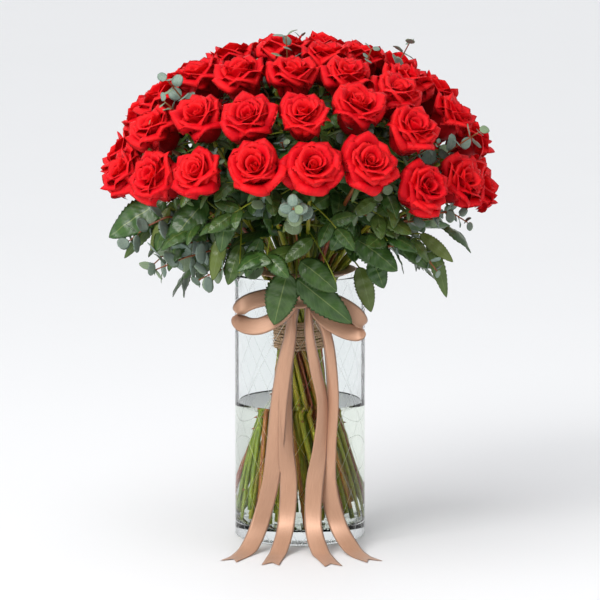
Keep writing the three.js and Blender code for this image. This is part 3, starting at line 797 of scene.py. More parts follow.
def leaf_front(base, tip, face, width, arch, fold, grid, toothed, wave, seed):
    """The front grid of one leaf. It runs from base to tip, arches towards face, and both halves
    drop away from the midrib by the fold."""
    rows, columns = grid
    s = np.linspace(0, 1, rows)[:, None]
    u = np.linspace(-1, 1, columns)[None, :]
    reach = tip - base
    length = np.linalg.norm(reach)
    face = unit(face - reach * (face @ reach) / length ** 2)
    spine = base + reach * s + face * (arch * length * 4 * s * (1 - s))
    along = unit(np.gradient(spine, axis=0))
    across = unit(np.cross(face[None], along))
    normal = np.cross(along, across)
    if toothed:
        outline = np.sin(np.pi * s ** 0.8) ** 0.66 * (1 - 0.1 * s)
        tooth = (np.arange(rows)[:, None] % 2) * np.minimum(1, 6 * s * (1 - s))
        edge = 1 - 0.11 * tooth * (np.abs(u) > 0.99)
        lead = 0.3 * tooth * np.abs(u) ** 3 / rows
    else:
        outline = np.sqrt(np.clip(1 - (2 * s ** 0.93 - 1) ** 2, 0, 1))
        edge, lead = np.ones_like(u * s), 0 * u * s
    half = width / 2 * np.maximum(outline, 0.035)
    side = half * u * edge
    phase = seed * 1.7
    ripple = wave * width * np.abs(u) ** 2 * np.sin(9 * s + phase + 1.2 * u)
    quilt = 0.02 * width * np.cos(26 * s) * (1 - u ** 2)
    rise = -fold * np.abs(side) + ripple * np.minimum(1, 5 * s * (1 - s)) + quilt
    return (spine[:, None] + across[:, None] * side[..., None] + normal[:, None] * rise[..., None]
            + reach * lead[..., None])


def add_leaf(pile, base, tip, face, width, hue=0.0, arch=0.1, fold=0.22, wave=0.04, toothed=True,
             seed=0.0, finish=0, grid=None):
    """Adds one leaf to a pile. mark: red is 0 on the upper side and 1 below, green is the leaf's
    own number, blue its hue."""
    grid = grid or (ROSE_LEAF_GRID if toothed else ROUND_LEAF_GRID)
    rows, columns = grid
    front = leaf_front(np.asarray(base, float), np.asarray(tip, float), np.asarray(face, float), width,
                       arch, fold, grid, toothed, wave, seed)
    points = lens_points(front, -0.4 * MM)
    s = np.broadcast_to(np.linspace(0, 1, rows)[:, None], grid)
    u = np.broadcast_to(np.linspace(0, 1, columns)[None, :], grid)
    uv = lens_values(np.stack([u, s], -1))
    marks = np.full((len(points), 3), (0.0, (seed * 0.37) % 1, hue))
    marks[rows * columns:, 0] = 1
    pile.add(points, lens_quads(rows, columns)[:, ::-1], uv, marks, finish)


# %% [markdown]
# A leaf's colour follows its own surface, so the veins are drawn from its uv: a midrib where the
# distance from the middle is small, and side veins where height less half that distance repeats.

# %% Leaf finish
def leaf_finish(name, blade, dull, olive, vein, under, rib_share, roughness, vein_count):
    """A leaf's skin: blade colour with noise between two greens, a pale midrib and side veins
    drawn from the uv, a paler underside, and a bump that follows the veins."""
    finish, nodes, links, shader = finish_with(name)
    mark, parts = mark_parts(nodes, links)
    lie = nodes.new("ShaderNodeUVMap")
    lie.uv_map = "Lie"
    split = nodes.new("ShaderNodeSeparateXYZ")
    links.new(lie.outputs["UV"], split.inputs["Vector"])
    off = math_node(nodes, links, "ABSOLUTE", math_node(nodes, links, "SUBTRACT", split.outputs["X"], 0.5))
    rib = math_node(nodes, links, "LESS_THAN", off, rib_share)
    slope = math_node(nodes, links, "MULTIPLY_ADD", off, -0.5, split.outputs["Y"])
    beat = math_node(nodes, links, "PINGPONG", math_node(nodes, links, "MULTIPLY", slope, vein_count), 0.5)
    side = math_node(nodes, links, "LESS_THAN", beat, 0.045)
    side = math_node(nodes, links, "MULTIPLY", side, 0.22)
    lines = math_node(nodes, links, "MAXIMUM", rib, side)
    noise = nodes.new("ShaderNodeTexNoise")
    noise.inputs["Scale"].default_value = 5.0
    noise.inputs["Detail"].default_value = 3.0
    shift = nodes.new("ShaderNodeVectorMath")
    shift.operation = "ADD"
    links.new(lie.outputs["UV"], shift.inputs[0])
    links.new(mark.outputs["Color"], shift.inputs[1])
    links.new(shift.outputs["Vector"], noise.inputs["Vector"])
    ramp = ramp_node(nodes, [(0.3, blade), (0.75, dull)])
    links.new(noise.outputs["Fac"], ramp.inputs["Fac"])
    skin = mixed(nodes, links, parts.outputs["Blue"], ramp.outputs["Color"], olive)
    skin = mixed(nodes, links, parts.outputs["Red"], skin, under)
    skin = mixed(nodes, links, lines, skin, vein)
    links.new(skin, shader.inputs["Base Color"])
    shader.inputs["Roughness"].default_value = roughness
    shader.inputs["Specular IOR Level"].default_value = 0.5
    raised(nodes, links, beat, 0.35, 0.5 * MM, [shader])
    return finish


STEM = stem_finish()
ROSE_LEAF = leaf_finish("rose_leaf", (0.021, 0.066, 0.012), (0.052, 0.128, 0.022), (0.15, 0.19, 0.03),
                        (0.15, 0.21, 0.06), (0.075, 0.13, 0.06), 0.016, 0.33, 11)
GREY_LEAF = leaf_finish("eucalyptus_leaf", (0.16, 0.24, 0.19), (0.23, 0.31, 0.25), (0.22, 0.30, 0.10),
                        (0.30, 0.37, 0.27), (0.24, 0.31, 0.26), 0.012, 0.55, 7)
print("finishes so far:", PETAL.name, STEM.name, ROSE_LEAF.name, GREY_LEAF.name)

# %% [markdown]
# Every stem becomes one tube with joints and thorns. It swells into the hip below the bloom,
# where five narrow sepals hang. All sixty stems go into one piece, since they all wear one finish.

# %% Stems
STEM_RADIUS = 2.6 * MM
JOINT_SWELL = 0.55 * MM
HIP_SWELL = 3.4 * MM
THORNS = 6
SEPALS = 5
random = np.random.default_rng(7)
stem_pile = Pile()
for number, item in enumerate(paths):
    path, metres = resample(item["path"], 6 * MM)
    random.normal(0, 1, 3)  # no shape uses these three draws; they keep the later ones in place
    joints = np.arange(random.uniform(0.02, 0.05), metres[-1] - 0.05, random.uniform(0.055, 0.075))
    swell = sum(np.exp(-((metres - joint) / (3.5 * MM)) ** 2) for joint in joints)
    hip = np.exp(-((metres[-1] - metres) / (7 * MM)) ** 2)
    taper = random.uniform(0.86, 1.02) - 0.12 * metres / metres[-1]
    radius = STEM_RADIUS * taper + JOINT_SWELL * swell + HIP_SWELL * hip
    hue = random.uniform(0.0, 0.5) + 0.45 * (random.uniform() > 0.8)
    points, quads, uv = tube(path, radius, 10)
    uv = uv + [0, number * 0.37]
    marks = np.full((len(points), 3), (hue, 0.5, 0.0))
    marks[-2, 2] = 1
    stem_pile.add(points, quads, uv, marks)
    for thorn in random.uniform(0.02, metres[-1] - 0.08, THORNS):
        k = int(np.searchsorted(metres, thorn))
        along = unit(path[k + 1] - path[k])
        out = unit(np.cross(along, random.normal(0, 1, 3)))
        root = path[k] + out * (radius[k] - 0.4 * MM)
        hook = np.stack([root, root + (out * 1.8 - along * 0.3) * MM, root + (out * 3.4 - along * 1.6) * MM])
        points, quads, uv = tube(hook, np.array([1.5, 0.8, 0.12]) * MM, 6)
        stem_pile.add(points, quads, uv, (0.85, 0.5, 0.0))
    head = item["head"]
    spin = frame_of(head["axis"], random.uniform(0, 6))
    foot = head["centre"] - head["axis"] * 23 * MM
    for sepal in range(SEPALS):
        turn = sepal * 2 * math.pi / SEPALS
        out = spin[:, 0] * math.cos(turn) + spin[:, 1] * math.sin(turn)
        reach = unit(out - head["axis"] * random.uniform(0.1, 0.9))
        base = foot + out * 3 * MM
        tip = base + reach * random.uniform(20, 27) * MM
        add_leaf(stem_pile, base, tip, head["axis"] + out * 0.4, 6.5 * MM, 0.25, 0.12, 0.1, 0.02,
                 False, random.uniform(0, 9), 1, SEPAL_GRID)
stem_piece = stem_pile.piece("rose_stems", "stem", [STEM, ROSE_LEAF])
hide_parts(*sorted({item["node"] for item in paths}))
print("stems:", len(paths), "faces", len(stem_piece.data.polygons))

# %% [markdown]
# ## The collar of leaves
# A rose leaf carries three to five leaflets on a thin stalk. Low stems hang theirs out and down,
# which makes the green collar below the dome; the other stems hold theirs up into the gaps
# between the blooms. Those that hang over the rim in front are placed one by one.

# %% Rose leaves
def leaf_spray(pile, root, reach, face, size, random, hue):
    """One rose leaf: a curved stalk with a leaflet at its end and a pair beside it. The stalk is
    a straight line that drops by the square of the way along it."""
    reach = unit(reach)
    side = unit(np.cross(face, reach))
    length = size * 1.35
    drop = np.array([0, 0, -1.0])
    s = np.linspace(0, 1, 6)[:, None]
    stalk = root + reach * length * s + drop * 0.18 * length * s ** 2
    if math.hypot(stalk[-1, 0], stalk[-1, 1]) > COLLAR_REACH - size / 2:
        return
    points, quads, uv = tube(stalk, 0.8 * MM, 5)
    pile.add(points, quads, uv, (0.3, 0.5, 0.0), 1)
    along = unit(stalk[-1] - stalk[-2])
    spread = [(stalk[-1], along, 1.0)]
    for sign in (-1, 1):
        spread.append((stalk[-2], unit(along * 0.55 + side * sign), 0.86))
    for base, direction, share in spread:
        long = size * share * random.uniform(0.9, 1.12)
        turned = unit(face + random.normal(0, 0.22, 3))
        tip = base + unit(direction + random.normal(0, 0.12, 3)) * long + drop * 0.1 * long
        if math.hypot(tip[0], tip[1]) > COLLAR_REACH or (tip[2] < COLLAR_LOW and tip[1] < FRONT_OF):
            continue
        add_leaf(pile, base, tip, turned, long * random.uniform(0.6, 0.7), hue + random.uniform(0, 0.12),
                 random.uniform(0.05, 0.16), random.uniform(0.12, 0.35), 0.035, True, random.uniform(0, 30))


SECTORS = 6
INNER_LEAVES = 84
COLLAR_REACH = 200 * MM
COLLAR_LOW = 316 * MM
FRONT_OF = -60 * MM
random = np.random.default_rng(19)
collar = [Pile() for _ in range(SECTORS)]
collar_nodes = [set() for _ in range(SECTORS)]
for item in paths:
    centre, axis = item["head"]["centre"], item["head"]["axis"]
    bearing = math.atan2(centre[0], -centre[1])
    sector = int((bearing + math.pi) / (2 * math.pi) * SECTORS) % SECTORS
    path, metres = resample(item["path"], 5 * MM)
    outward = unit(np.array([centre[0], centre[1], 0.0]))
    low = axis[2] < 0.5
    for leaf in range(3 if low else 6):
        if low:
            root = path[np.searchsorted(metres, metres[-1] - 0.026 - 0.02 * leaf)]
            across = np.array([-outward[1], outward[0], 0.0])
            reach = outward * 0.42 + across * random.normal(0, 0.5) + np.array([0, 0, -0.32 + 0.16 * leaf])
            face = outward * 0.7 + np.array([0, 0, 0.8])
            size = random.uniform(44, 56) * MM
        else:
            below = (0.020, 0.034, 0.050, 0.075, 0.105, 0.135)[leaf]
            root = path[np.searchsorted(metres, metres[-1] - below)]
            turn = frame_of(axis, random.uniform(0, 6.28))
            reach = turn[:, 0] + axis * (0.35 if leaf < 3 else 0.1)
            face = axis
            size = random.uniform(30, 36) * MM if leaf < 3 else random.uniform(38, 48) * MM
        if low or root[2] > RIM_HEIGHT + 48 * MM:
            hue = 0.2 * (random.uniform() > 0.85)
            leaf_spray(collar[sector], root, reach, face, size, random, hue)
    collar_nodes[sector].add(item["node"])
for extra in range(INNER_LEAVES):
    turn = random.uniform(0, 2 * math.pi)
    out = 0.125 * math.sqrt(random.uniform())
    base = np.array([out * math.sin(turn), -out * math.cos(turn), random.uniform(0.385, 0.475) - out * 0.3])
    reach = unit(random.normal(0, 1, 3) * [1, 1, 0.6])
    add_leaf(collar[extra % SECTORS], base, base + reach * 0.055, random.normal(0, 1, 3), 0.038,
             0.0, 0.1, 0.2, 0.03, True, random.uniform(0, 30), 0, HIDDEN_LEAF_GRID)


# %% [markdown]
# The leaves at the front, from left to right. Each row gives the leaf's foot and tip in
# millimetres, its width, how far it faces up, and its hue: 0 is dark green and 1 is olive.

# %% Front leaves
FRONT_LEAVES = [
    ((-150, -70, 395), (-214, -66, 352), 44, 0.5, 0.0),
    ((-150, -62, 385), (-197, -64, 328), 19, 0.2, 0.25),
    ((-146, -78, 388), (-167, -78, 338), 15, 0.1, 0.8),
    ((-104, -112, 400), (-146, -118, 350), 40, 0.35, 0.0),
    ((-76, -134, 408), (-88, -140, 346), 31, 0.25, 0.05),
    ((-86, -122, 364), (-97, -124, 312), 20, 0.2, 0.7),
    ((-66, -120, 352), (-80, -130, 308), 24, 0.3, 0.2),
    ((-44, -125, 360), (-60, -132, 317), 22, 0.3, 0.0),
    ((2, -120, 346), (-45, -138, 334), 24, 0.7, 0.3),
    ((-14, -104, 318), (-29, -98, 258), 41, 0.25, 0.1),
    ((-4, -103, 311), (58, -101, 260), 37, 0.2, 0.05),
    ((0, -118, 333), (41, -114, 298), 35, 0.5, 0.1),
    ((14, -130, 360), (-18, -134, 334), 20, 0.6, 0.2),
    ((58, -130, 380), (34, -138, 348), 27, 0.3, 0.0),
    ((61, -125, 360), (108, -132, 324), 37, 0.5, 0.05),
    ((111, -112, 354), (145, -112, 324), 22, 0.4, 0.1),
    ((134, -92, 360), (171, -92, 328), 17, 0.2, 0.75),
    ((143, -86, 352), (164, -86, 287), 19, 0.1, 0.35),
    ((80, -84, 330), (94, -84, 297), 26, 0.2, 0.0),
    ((66, -62, 318), (80, -58, 266), 24, 0.15, 0.55),
    ((84, -142, 406), (58, -148, 388), 19, 0.4, 0.3),
    ((0, -150, 402), (-19, -152, 370), 12, 0.1, 0.9),
]
front_pile = Pile()
for number, (foot, tip, width, up, hue) in enumerate(FRONT_LEAVES):
    foot, tip = np.array(foot) * MM, np.array(tip) * MM
    inward = np.array([foot[0] * 0.55, foot[1] * 0.45, RIM_HEIGHT + 25 * MM])
    stalk = np.stack([inward, (inward + foot) / 2 + [0, 0, 12 * MM], foot])
    stalk, _ = resample(stalk, 6 * MM)
    points, quads, uv = tube(stalk, 0.9 * MM, 6)
    front_pile.add(points, quads, uv, (0.35, 0.5, 0.0), 1)
    add_leaf(front_pile, foot, tip, np.array([foot[0] * 2.0, -1.0, up]), width * MM, hue, 0.08, 0.16, 0.03,
             True, 3.0 + number, 0, FRONT_LEAF_GRID)
front_piece = front_pile.piece("front_leaves", "leaf", [ROSE_LEAF, STEM])
front_nodes = sorted({item["node"] for item in paths if item["head"]["centre"][1] < -0.1})
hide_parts(*front_nodes)
for sector in range(SECTORS):
    piece = collar[sector].piece(f"rose_leaves_{sector + 1}", "leaf", [ROSE_LEAF, STEM])
    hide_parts(*sorted(collar_nodes[sector]))

# %% [markdown]
# ## Eucalyptus
# Silver-dollar eucalyptus bears round grey-green leaves in opposite pairs, each pair turned a
# quarter from the last, on a thin red-brown stem. The six long sprigs follow the CAD model's; a
# few short tips fill gaps between the blooms.

# %% Eucalyptus
def eucalyptus(pile, path, pairs, size, random, spacing=15 * MM, first=0.0):
    """A stem with pairs of round leaves from its tip downwards."""
    path, metres = resample(path, 4 * MM)
    radius = (0.75 + 0.75 * (1 - metres / metres[-1])) * MM
    points, quads, uv = tube(path, radius, 7)
    pile.add(points, quads, uv, (0.92, 0.5, 0.0), 1)
    for pair in range(pairs):
        at = metres[-1] - pair * spacing
        k = int(np.clip(np.searchsorted(metres, at), 1, len(path) - 1))
        along = unit(path[k] - path[k - 1])
        turn = frame_of(along, first + pair * math.pi / 2)
        grown = size * (0.62 + 0.38 * min(pair / 3, 1)) * random.uniform(0.9, 1.1)
        for sign in (-1, 1):
            out = unit(turn[:, 0] * sign + along * random.uniform(0.15, 0.75) + random.normal(0, 0.16, 3))
            face = unit(along - out * (along @ out) + random.normal(0, 0.3, 3))
            base = path[k] + out * 1.8 * MM
            points, quads, uv = tube(np.stack([path[k], (path[k] + base) / 2, base]), 0.55 * MM, 5)
            pile.add(points, quads, uv, (0.9, 0.5, 0.0), 1)
            add_leaf(pile, base, base + out * grown, face, grown * random.uniform(0.8, 0.95),
                     0.5 * (random.uniform() > 0.7), random.uniform(-0.05, 0.12), random.uniform(-0.1, 0.15),
                     0.02, False, random.uniform(0, 30))


HEART = np.array([0.0, 0.0, RIM_HEIGHT + 44 * MM])
ARCHES = {"eucalyptus_01": 34 * MM, "eucalyptus_06": 14 * MM}
random = np.random.default_rng(5)
for node in sorted(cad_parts):
    if not node.startswith("eucalyptus_"):
        continue
    points, triangles = merged_mesh(node)
    low, high = (cut_centres(points, triangles, height, 1)[0] for height in STEM_CUTS)
    tip = points[np.argmax(np.linalg.norm(points[:, :2], axis=1) + 2 * points[:, 2])]
    axis = unit(tip - HEART)
    path = stem_path(points, low, high, tip, axis, ARCHES.get(node, 0.0))
    pile = Pile()
    hangs = tip[2] < HEART[2]
    eucalyptus(pile, path, 9 if hangs else 6, (27 if hangs else 20) * MM, random)
    piece = pile.piece(node + "_sprig", "eucalyptus", [GREY_LEAF, STEM])
    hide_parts(node)
    print(node, "tip", (tip * 1000).round())

SHORT_TIPS = [
    ((-170, -80, 478), 4, 17), ((-150, -95, 508), 3, 16), ((-52, -60, 545), 3, 13), ((58, -140, 488), 3, 16),
    ((74, -136, 474), 3, 15), ((142, -92, 476), 4, 11), ((152, -84, 460), 3, 11), ((80, -30, 560), 2, 15),
    ((-38, -150, 402), 3, 25), ((72, -140, 388), 2, 20), ((90, -138, 412), 2, 21), ((-96, -132, 452), 2, 15),
    ((170, -92, 385), 2, 18), ((154, -96, 378), 2, 15), ((-20, -152, 470), 2, 14), ((110, -120, 455), 2, 14),
    ((150, 90, 480), 3, 17), ((-120, 120, 490), 3, 17), ((10, 170, 470), 3, 17), ((-60, 150, 420), 3, 22),
    ((90, 150, 410), 3, 22), ((-190, 40, 400), 3, 20), ((190, 40, 395), 3, 20), ((0, 40, 566), 2, 14),
]
tip_pile = Pile()
for (x, y, z), pairs, size in SHORT_TIPS:
    tip = np.array([x, y, z]) * MM
    inward = tip + (HEART - tip) * 0.42
    middle = tip + (HEART - tip) * 0.2 + random.normal(0, 4 * MM, 3)
    path = np.stack([inward, middle, tip])
    eucalyptus(tip_pile, path, pairs, size * MM, random, 13 * MM, random.uniform(0, 3))
HANGING = [
    ((-50, -60, 338), (-88, -105, 346), (-128, -112, 336), (-160, -108, 322)),
    ((-40, -60, 330), (-62, -104, 330), (-92, -118, 322), (-112, -118, 312)),
    ((96, -90, 345), (118, -110, 352), (138, -116, 340), (152, -116, 322)),
    ((110, -90, 372), (140, -104, 384), (168, -104, 386), (186, -98, 374)),
    ((-120, -70, 372), (-148, -84, 378), (-172, -80, 366), (-190, -74, 350)),
]
for stops in HANGING:
    pairs, size = (5, 18) if stops[0][0] > 0 else (6, 26)
    eucalyptus(tip_pile, np.array(stops) * MM, pairs, size * MM, random, 16 * MM, 0.4)
tips_piece = tip_pile.piece("eucalyptus_tips", "eucalyptus", [GREY_LEAF, STEM])
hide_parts(*[node for node in sorted(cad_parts) if node.startswith("eucalyptus_")])

# %% [markdown]
# ## The vase
# A heavy cylinder of clear glass: a straight wall, a thick base, and rounded, fire-polished
# edges. It is turned like a pot: one outline, spun round the axis. Fine lines cross on its
# outside in tall diamonds, cut so lightly that they only show as pale threads.

# %% Outlines
WALL = 4.0 * MM
BASE = 17.0 * MM
WATER_LAP = 0.3 * MM
FOOT_LIFT = 0.15 * MM
CORNER = 6 * MM
VASE_TURNS = 160


def spun(outline, turns):
    """Points and quads of an outline of (radius, height) pairs spun round Z; first and last are
    on the axis."""
    outline = np.asarray(outline, float)
    angle = np.arange(turns) * 2 * np.pi / turns
    body = outline[1:-1]
    ring = np.stack([body[:, :1] * np.cos(angle), body[:, :1] * np.sin(angle),
                     np.broadcast_to(body[:, 1:], (len(body), turns))], -1)
    points = np.concatenate([ring.reshape(-1, 3), [[0, 0, outline[0, 1]], [0, 0, outline[-1, 1]]]])
    return points, capped_quads(len(body), turns)


def rounded(centre, radius, start, end, steps=7):
    """A quarter or half circle of (radius, height) pairs."""
    angle = np.radians(np.linspace(start, end, steps))
    return [(centre[0] + radius * math.cos(a), centre[1] + radius * math.sin(a)) for a in angle]


# %% [markdown]
# Clear things are hard to light: they have no colour, only what they bend and what they mirror.
# One helper makes the finish of both the glass and the water, so that they agree.

# %% Clear finish
def clear_finish(name, ior, tint, glance):
    """Clear glass or water. Seen edge-on it is a principled shader with full transmission, which
    mirrors the room; seen square-on it only refracts, as through a polarising filter, so what
    stands inside keeps its dark depths. glance is how much more it mirrors at a glancing angle.
    Shadow rays go straight through."""
    finish, nodes, links, shader = finish_with(name)
    shader.inputs["Base Color"].default_value = (*tint, 1)
    shader.inputs["Transmission Weight"].default_value = 1.0
    shader.inputs["Roughness"].default_value = 0.0
    shader.inputs["IOR"].default_value = ior
    path = nodes.new("ShaderNodeLightPath")
    through = nodes.new("ShaderNodeBsdfTransparent")
    through.inputs["Color"].default_value = (*[0.5 + 0.5 * c for c in tint], 1)
    mix = nodes.new("ShaderNodeMixShader")
    square = nodes.new("ShaderNodeBsdfRefraction")
    square.inputs["Color"].default_value = (*tint, 1)
    square.inputs["Roughness"].default_value = 0.0
    square.inputs["IOR"].default_value = ior
    edge = nodes.new("ShaderNodeLayerWeight")
    edge.inputs["Blend"].default_value = 0.5
    body = nodes.new("ShaderNodeMixShader")
    links.new(math_node(nodes, links, "MULTIPLY", edge.outputs["Facing"], 1.1), body.inputs["Fac"])
    links.new(square.outputs["BSDF"], body.inputs[1])
    links.new(shader.outputs["BSDF"], body.inputs[2])
    mirror = nodes.new("ShaderNodeBsdfGlossy")
    mirror.inputs["Roughness"].default_value = 0.02
    low = nodes.new("ShaderNodeMapRange")
    low.inputs["From Min"].default_value = 0.70
    low.inputs["From Max"].default_value = 0.84
    low.inputs["To Max"].default_value = glance
    links.new(edge.outputs["Facing"], low.inputs["Value"])
    skin = nodes.new("ShaderNodeMixShader")
    links.new(low.outputs["Result"], skin.inputs["Fac"])
    links.new(body.outputs["Shader"], skin.inputs[1])
    links.new(mirror.outputs["BSDF"], skin.inputs[2])
    links.new(path.outputs["Is Shadow Ray"], mix.inputs["Fac"])
    links.new(skin.outputs["Shader"], mix.inputs[1])
    links.new(through.outputs["BSDF"], mix.inputs[2])
    links.new(mix.outputs["Shader"], nodes["Material Output"].inputs["Surface"])
    return finish, nodes, links, (shader, square)


# %% Vase
LATTICE_ROUND = 14
LATTICE_RISE = 57 * MM
LATTICE_LINE = 0.011


def glass_finish():
    """Glass with a cut lattice: two families of slanting lines, found from the angle round the
    vase and the height, roughen the surface slightly."""
    finish, nodes, links, shaders = clear_finish("vase_glass", 1.46, (0.955, 0.968, 0.966), 0.0)
    where = nodes.new("ShaderNodeTexCoord")
    split = nodes.new("ShaderNodeSeparateXYZ")
    links.new(where.outputs["Object"], split.inputs["Vector"])
    angle = math_node(nodes, links, "ARCTAN2", split.outputs["X"], split.outputs["Y"])
    round_it = math_node(nodes, links, "MULTIPLY", angle, LATTICE_ROUND / (2 * math.pi))
    rise = math_node(nodes, links, "MULTIPLY", split.outputs["Z"], 1 / LATTICE_RISE)
    marks = []
    for operation in ("ADD", "SUBTRACT"):
        slant = math_node(nodes, links, operation, round_it, rise)
        beat = math_node(nodes, links, "PINGPONG", slant, 0.5)
        marks.append(math_node(nodes, links, "LESS_THAN", beat, LATTICE_LINE))
    line = math_node(nodes, links, "MAXIMUM", marks[0], marks[1])
    out = nodes.new("ShaderNodeVectorMath")
    out.operation = "LENGTH"
    flat = nodes.new("ShaderNodeCombineXYZ")
    links.new(split.outputs["X"], flat.inputs["X"])
    links.new(split.outputs["Y"], flat.inputs["Y"])
    links.new(flat.outputs["Vector"], out.inputs[0])
    outside = math_node(nodes, links, "GREATER_THAN", out.outputs["Value"], VASE_RADIUS - WALL / 4)
    line = math_node(nodes, links, "MULTIPLY", line, outside)
    rough = math_node(nodes, links, "MULTIPLY", line, 0.3)
    for shader in shaders:
        links.new(rough, shader.inputs["Roughness"])
    raised(nodes, links, line, 0.5, 0.3 * MM, shaders, cut=True)
    return finish


outer, inner, top = VASE_RADIUS, VASE_RADIUS - WALL, RIM_HEIGHT
foot_round, rim_round = 3.0 * MM, WALL / 2
vase_outline = ([(0, 0.5 * MM), (outer - 9 * MM, 0.5 * MM), (outer - 7 * MM, FOOT_LIFT)]
                + rounded((outer - foot_round, foot_round + FOOT_LIFT), foot_round, -90, 0)
                + [(outer, z) for z in np.linspace(12 * MM, top - 8 * MM, 12)]
                + rounded((outer - rim_round, top - rim_round), rim_round, 0, 180, 11)
                + [(inner, z) for z in np.linspace(top - 8 * MM, BASE + 10 * MM, 12)]
                + rounded((inner - CORNER, BASE + CORNER), CORNER, 0, -90)
                + [(inner - 20 * MM, BASE), (0, BASE)])
points, quads = spun(vase_outline, VASE_TURNS)
vase = new_piece("vase_glass", points, quads, [glass_finish()])
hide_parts("vase")
print("glass", round(outer * 2000), "mm wide", round(top * 1000), "mm high")

# %% [markdown]
# The water fills the vase to a little over half. Its edge climbs the glass by a millimetre or
# two, the meniscus, which draws the dark line round the level. The water is made a hair wider than
# the hollow: a film of air between the two would mirror, and water in a glass shows no such film.

# %% Water
MENISCUS_WIDTH = 1.8 * MM
MENISCUS_RISE = 0.8 * MM
water_radius = inner + WATER_LAP
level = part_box("water")[1][2]
flat_level = level - MENISCUS_RISE
climb = np.linspace(1, 0, 7)
meniscus = [(water_radius - (1 - c) * MENISCUS_WIDTH, flat_level + MENISCUS_RISE * c ** 2.2)
            for c in climb]
water_outline = ([(0, BASE - WATER_LAP), (inner - 20 * MM, BASE - WATER_LAP)]
                 + rounded((inner - CORNER, BASE + CORNER), CORNER + WATER_LAP, -90, 0)
                 + [(water_radius, z) for z in np.linspace(BASE + 12 * MM, level - 6 * MM, 6)]
                 + meniscus + [(30 * MM, flat_level), (0, flat_level)])
points, quads = spun(water_outline, VASE_TURNS)


def water_finish():
    """Water is never quite still or quite clear: a very faint ripple and a green tint."""
    finish, nodes, links, shaders = clear_finish("vase_water", 1.33, (0.965, 0.975, 0.935), 0.5)
    where = nodes.new("ShaderNodeTexCoord")
    noise = nodes.new("ShaderNodeTexNoise")
    noise.inputs["Scale"].default_value = 30.0
    links.new(where.outputs["Object"], noise.inputs["Vector"])
    raised(nodes, links, noise.outputs["Fac"], 0.05, 0.3 * MM, shaders)
    return finish


water = new_piece("water_body", points, quads, [water_finish()])
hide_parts("water")
print("water level", round(level * 1000), "mm")

# %% [markdown]
# ## Twine
# The stems are tied with jute. Two plies twist round each other into a cord, and the cord is
# wound in turns that lie close together, not quite level. Loose fibres stand off it.

# %% Jute binding
TURNS = 11
STEPS_IN_TURN = 150
FIBRES = 420
random = np.random.default_rng(3)
tie_radius = (TIE_HIGH[0] - TIE_LOW[0] + TIE_HIGH[1] - TIE_LOW[1]) / 4
tie_centre = (TIE_LOW + TIE_HIGH) / 2
pitch = (TIE_HIGH[2] - TIE_LOW[2]) / (TURNS + 1)
cord = np.linspace(0, TURNS * 2 * np.pi, TURNS * STEPS_IN_TURN)
wobble = 0.5 * MM * np.sin(cord * 2.3) + 0.35 * MM * np.sin(cord * 5.1 + 1)
cord_radius = tie_radius - pitch * 0.5 + 0.35 * MM * np.sin(cord * 3.7)
cord_path = np.stack([tie_centre[0] + cord_radius * np.cos(cord), tie_centre[1] + cord_radius * np.sin(cord),
                      TIE_LOW[2] + pitch * (0.5 + cord / (2 * np.pi)) + pitch * 0.25 + wobble], 1)
outward = np.stack([np.cos(cord), np.sin(cord), 0 * cord], 1)
twist = cord * tie_radius / (7 * MM) * 2 * np.pi
twine_pile = Pile()
for ply in (0, math.pi):
    offset = outward * np.cos(twist + ply)[:, None] + np.array([0, 0, 1.0]) * np.sin(twist + ply)[:, None]
    strand = cord_path + offset * pitch * 0.2
    points, quads, uv = tube(strand, pitch * 0.3, 6)
    twine_pile.add(points, quads, uv, (0.5, 0.5, float(ply > 0)))
for _ in range(FIBRES):
    k = int(random.integers(2, len(cord_path) - 2))
    root = cord_path[k] + outward[k] * pitch * 0.38
    drift = outward[k] * random.uniform(0.2, 1.0) + random.normal(0, 0.8, 3)
    long = random.uniform(2.0, 6.5) * MM
    end = root + drift * long * 0.6 + random.normal(0, 0.6, 3) * MM
    hair = np.stack([root, root + drift * long * 0.35, end])
    points, quads, uv = tube(hair, np.array([0.16, 0.12, 0.05]) * MM, 3)
    twine_pile.add(points, quads, uv, (0.8, 0.5, 0.4))


def twine_finish():
    """Jute: many fine straw-coloured fibres, some dark, running along the ply."""
    finish, nodes, links, shader = finish_with("jute")
    fibres = lie_noise(nodes, links, (9, 160), 1.5, 5.0)
    ramp = ramp_node(nodes, [(0.25, (0.27, 0.15, 0.08)), (0.5, (0.62, 0.41, 0.25)),
                             (0.75, (0.82, 0.61, 0.41))])
    links.new(fibres.outputs["Fac"], ramp.inputs["Fac"])
    links.new(ramp.outputs["Color"], shader.inputs["Base Color"])
    shader.inputs["Roughness"].default_value = 0.85
    raised(nodes, links, fibres.outputs["Fac"], 0.7, 0.4 * MM, [shader])
    return finish


twine = twine_pile.piece("jute_twine", "twine", [twine_finish()])
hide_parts("jute_binding")
print("twine: radius", round(tie_radius * 1000, 1), "mm, pitch", round(pitch * 1000, 2), "mm")

# %% [markdown]
# ## Satin ribbon
# A ribbon is a long strip that bends easily along its length and hardly at all across it. So each
# strip is a path with a width direction carried along it. Where it is tied it is gathered: its
# cross-section folds into a V. Satin shines because its threads float along the strip, which
# stretches a highlight across them.

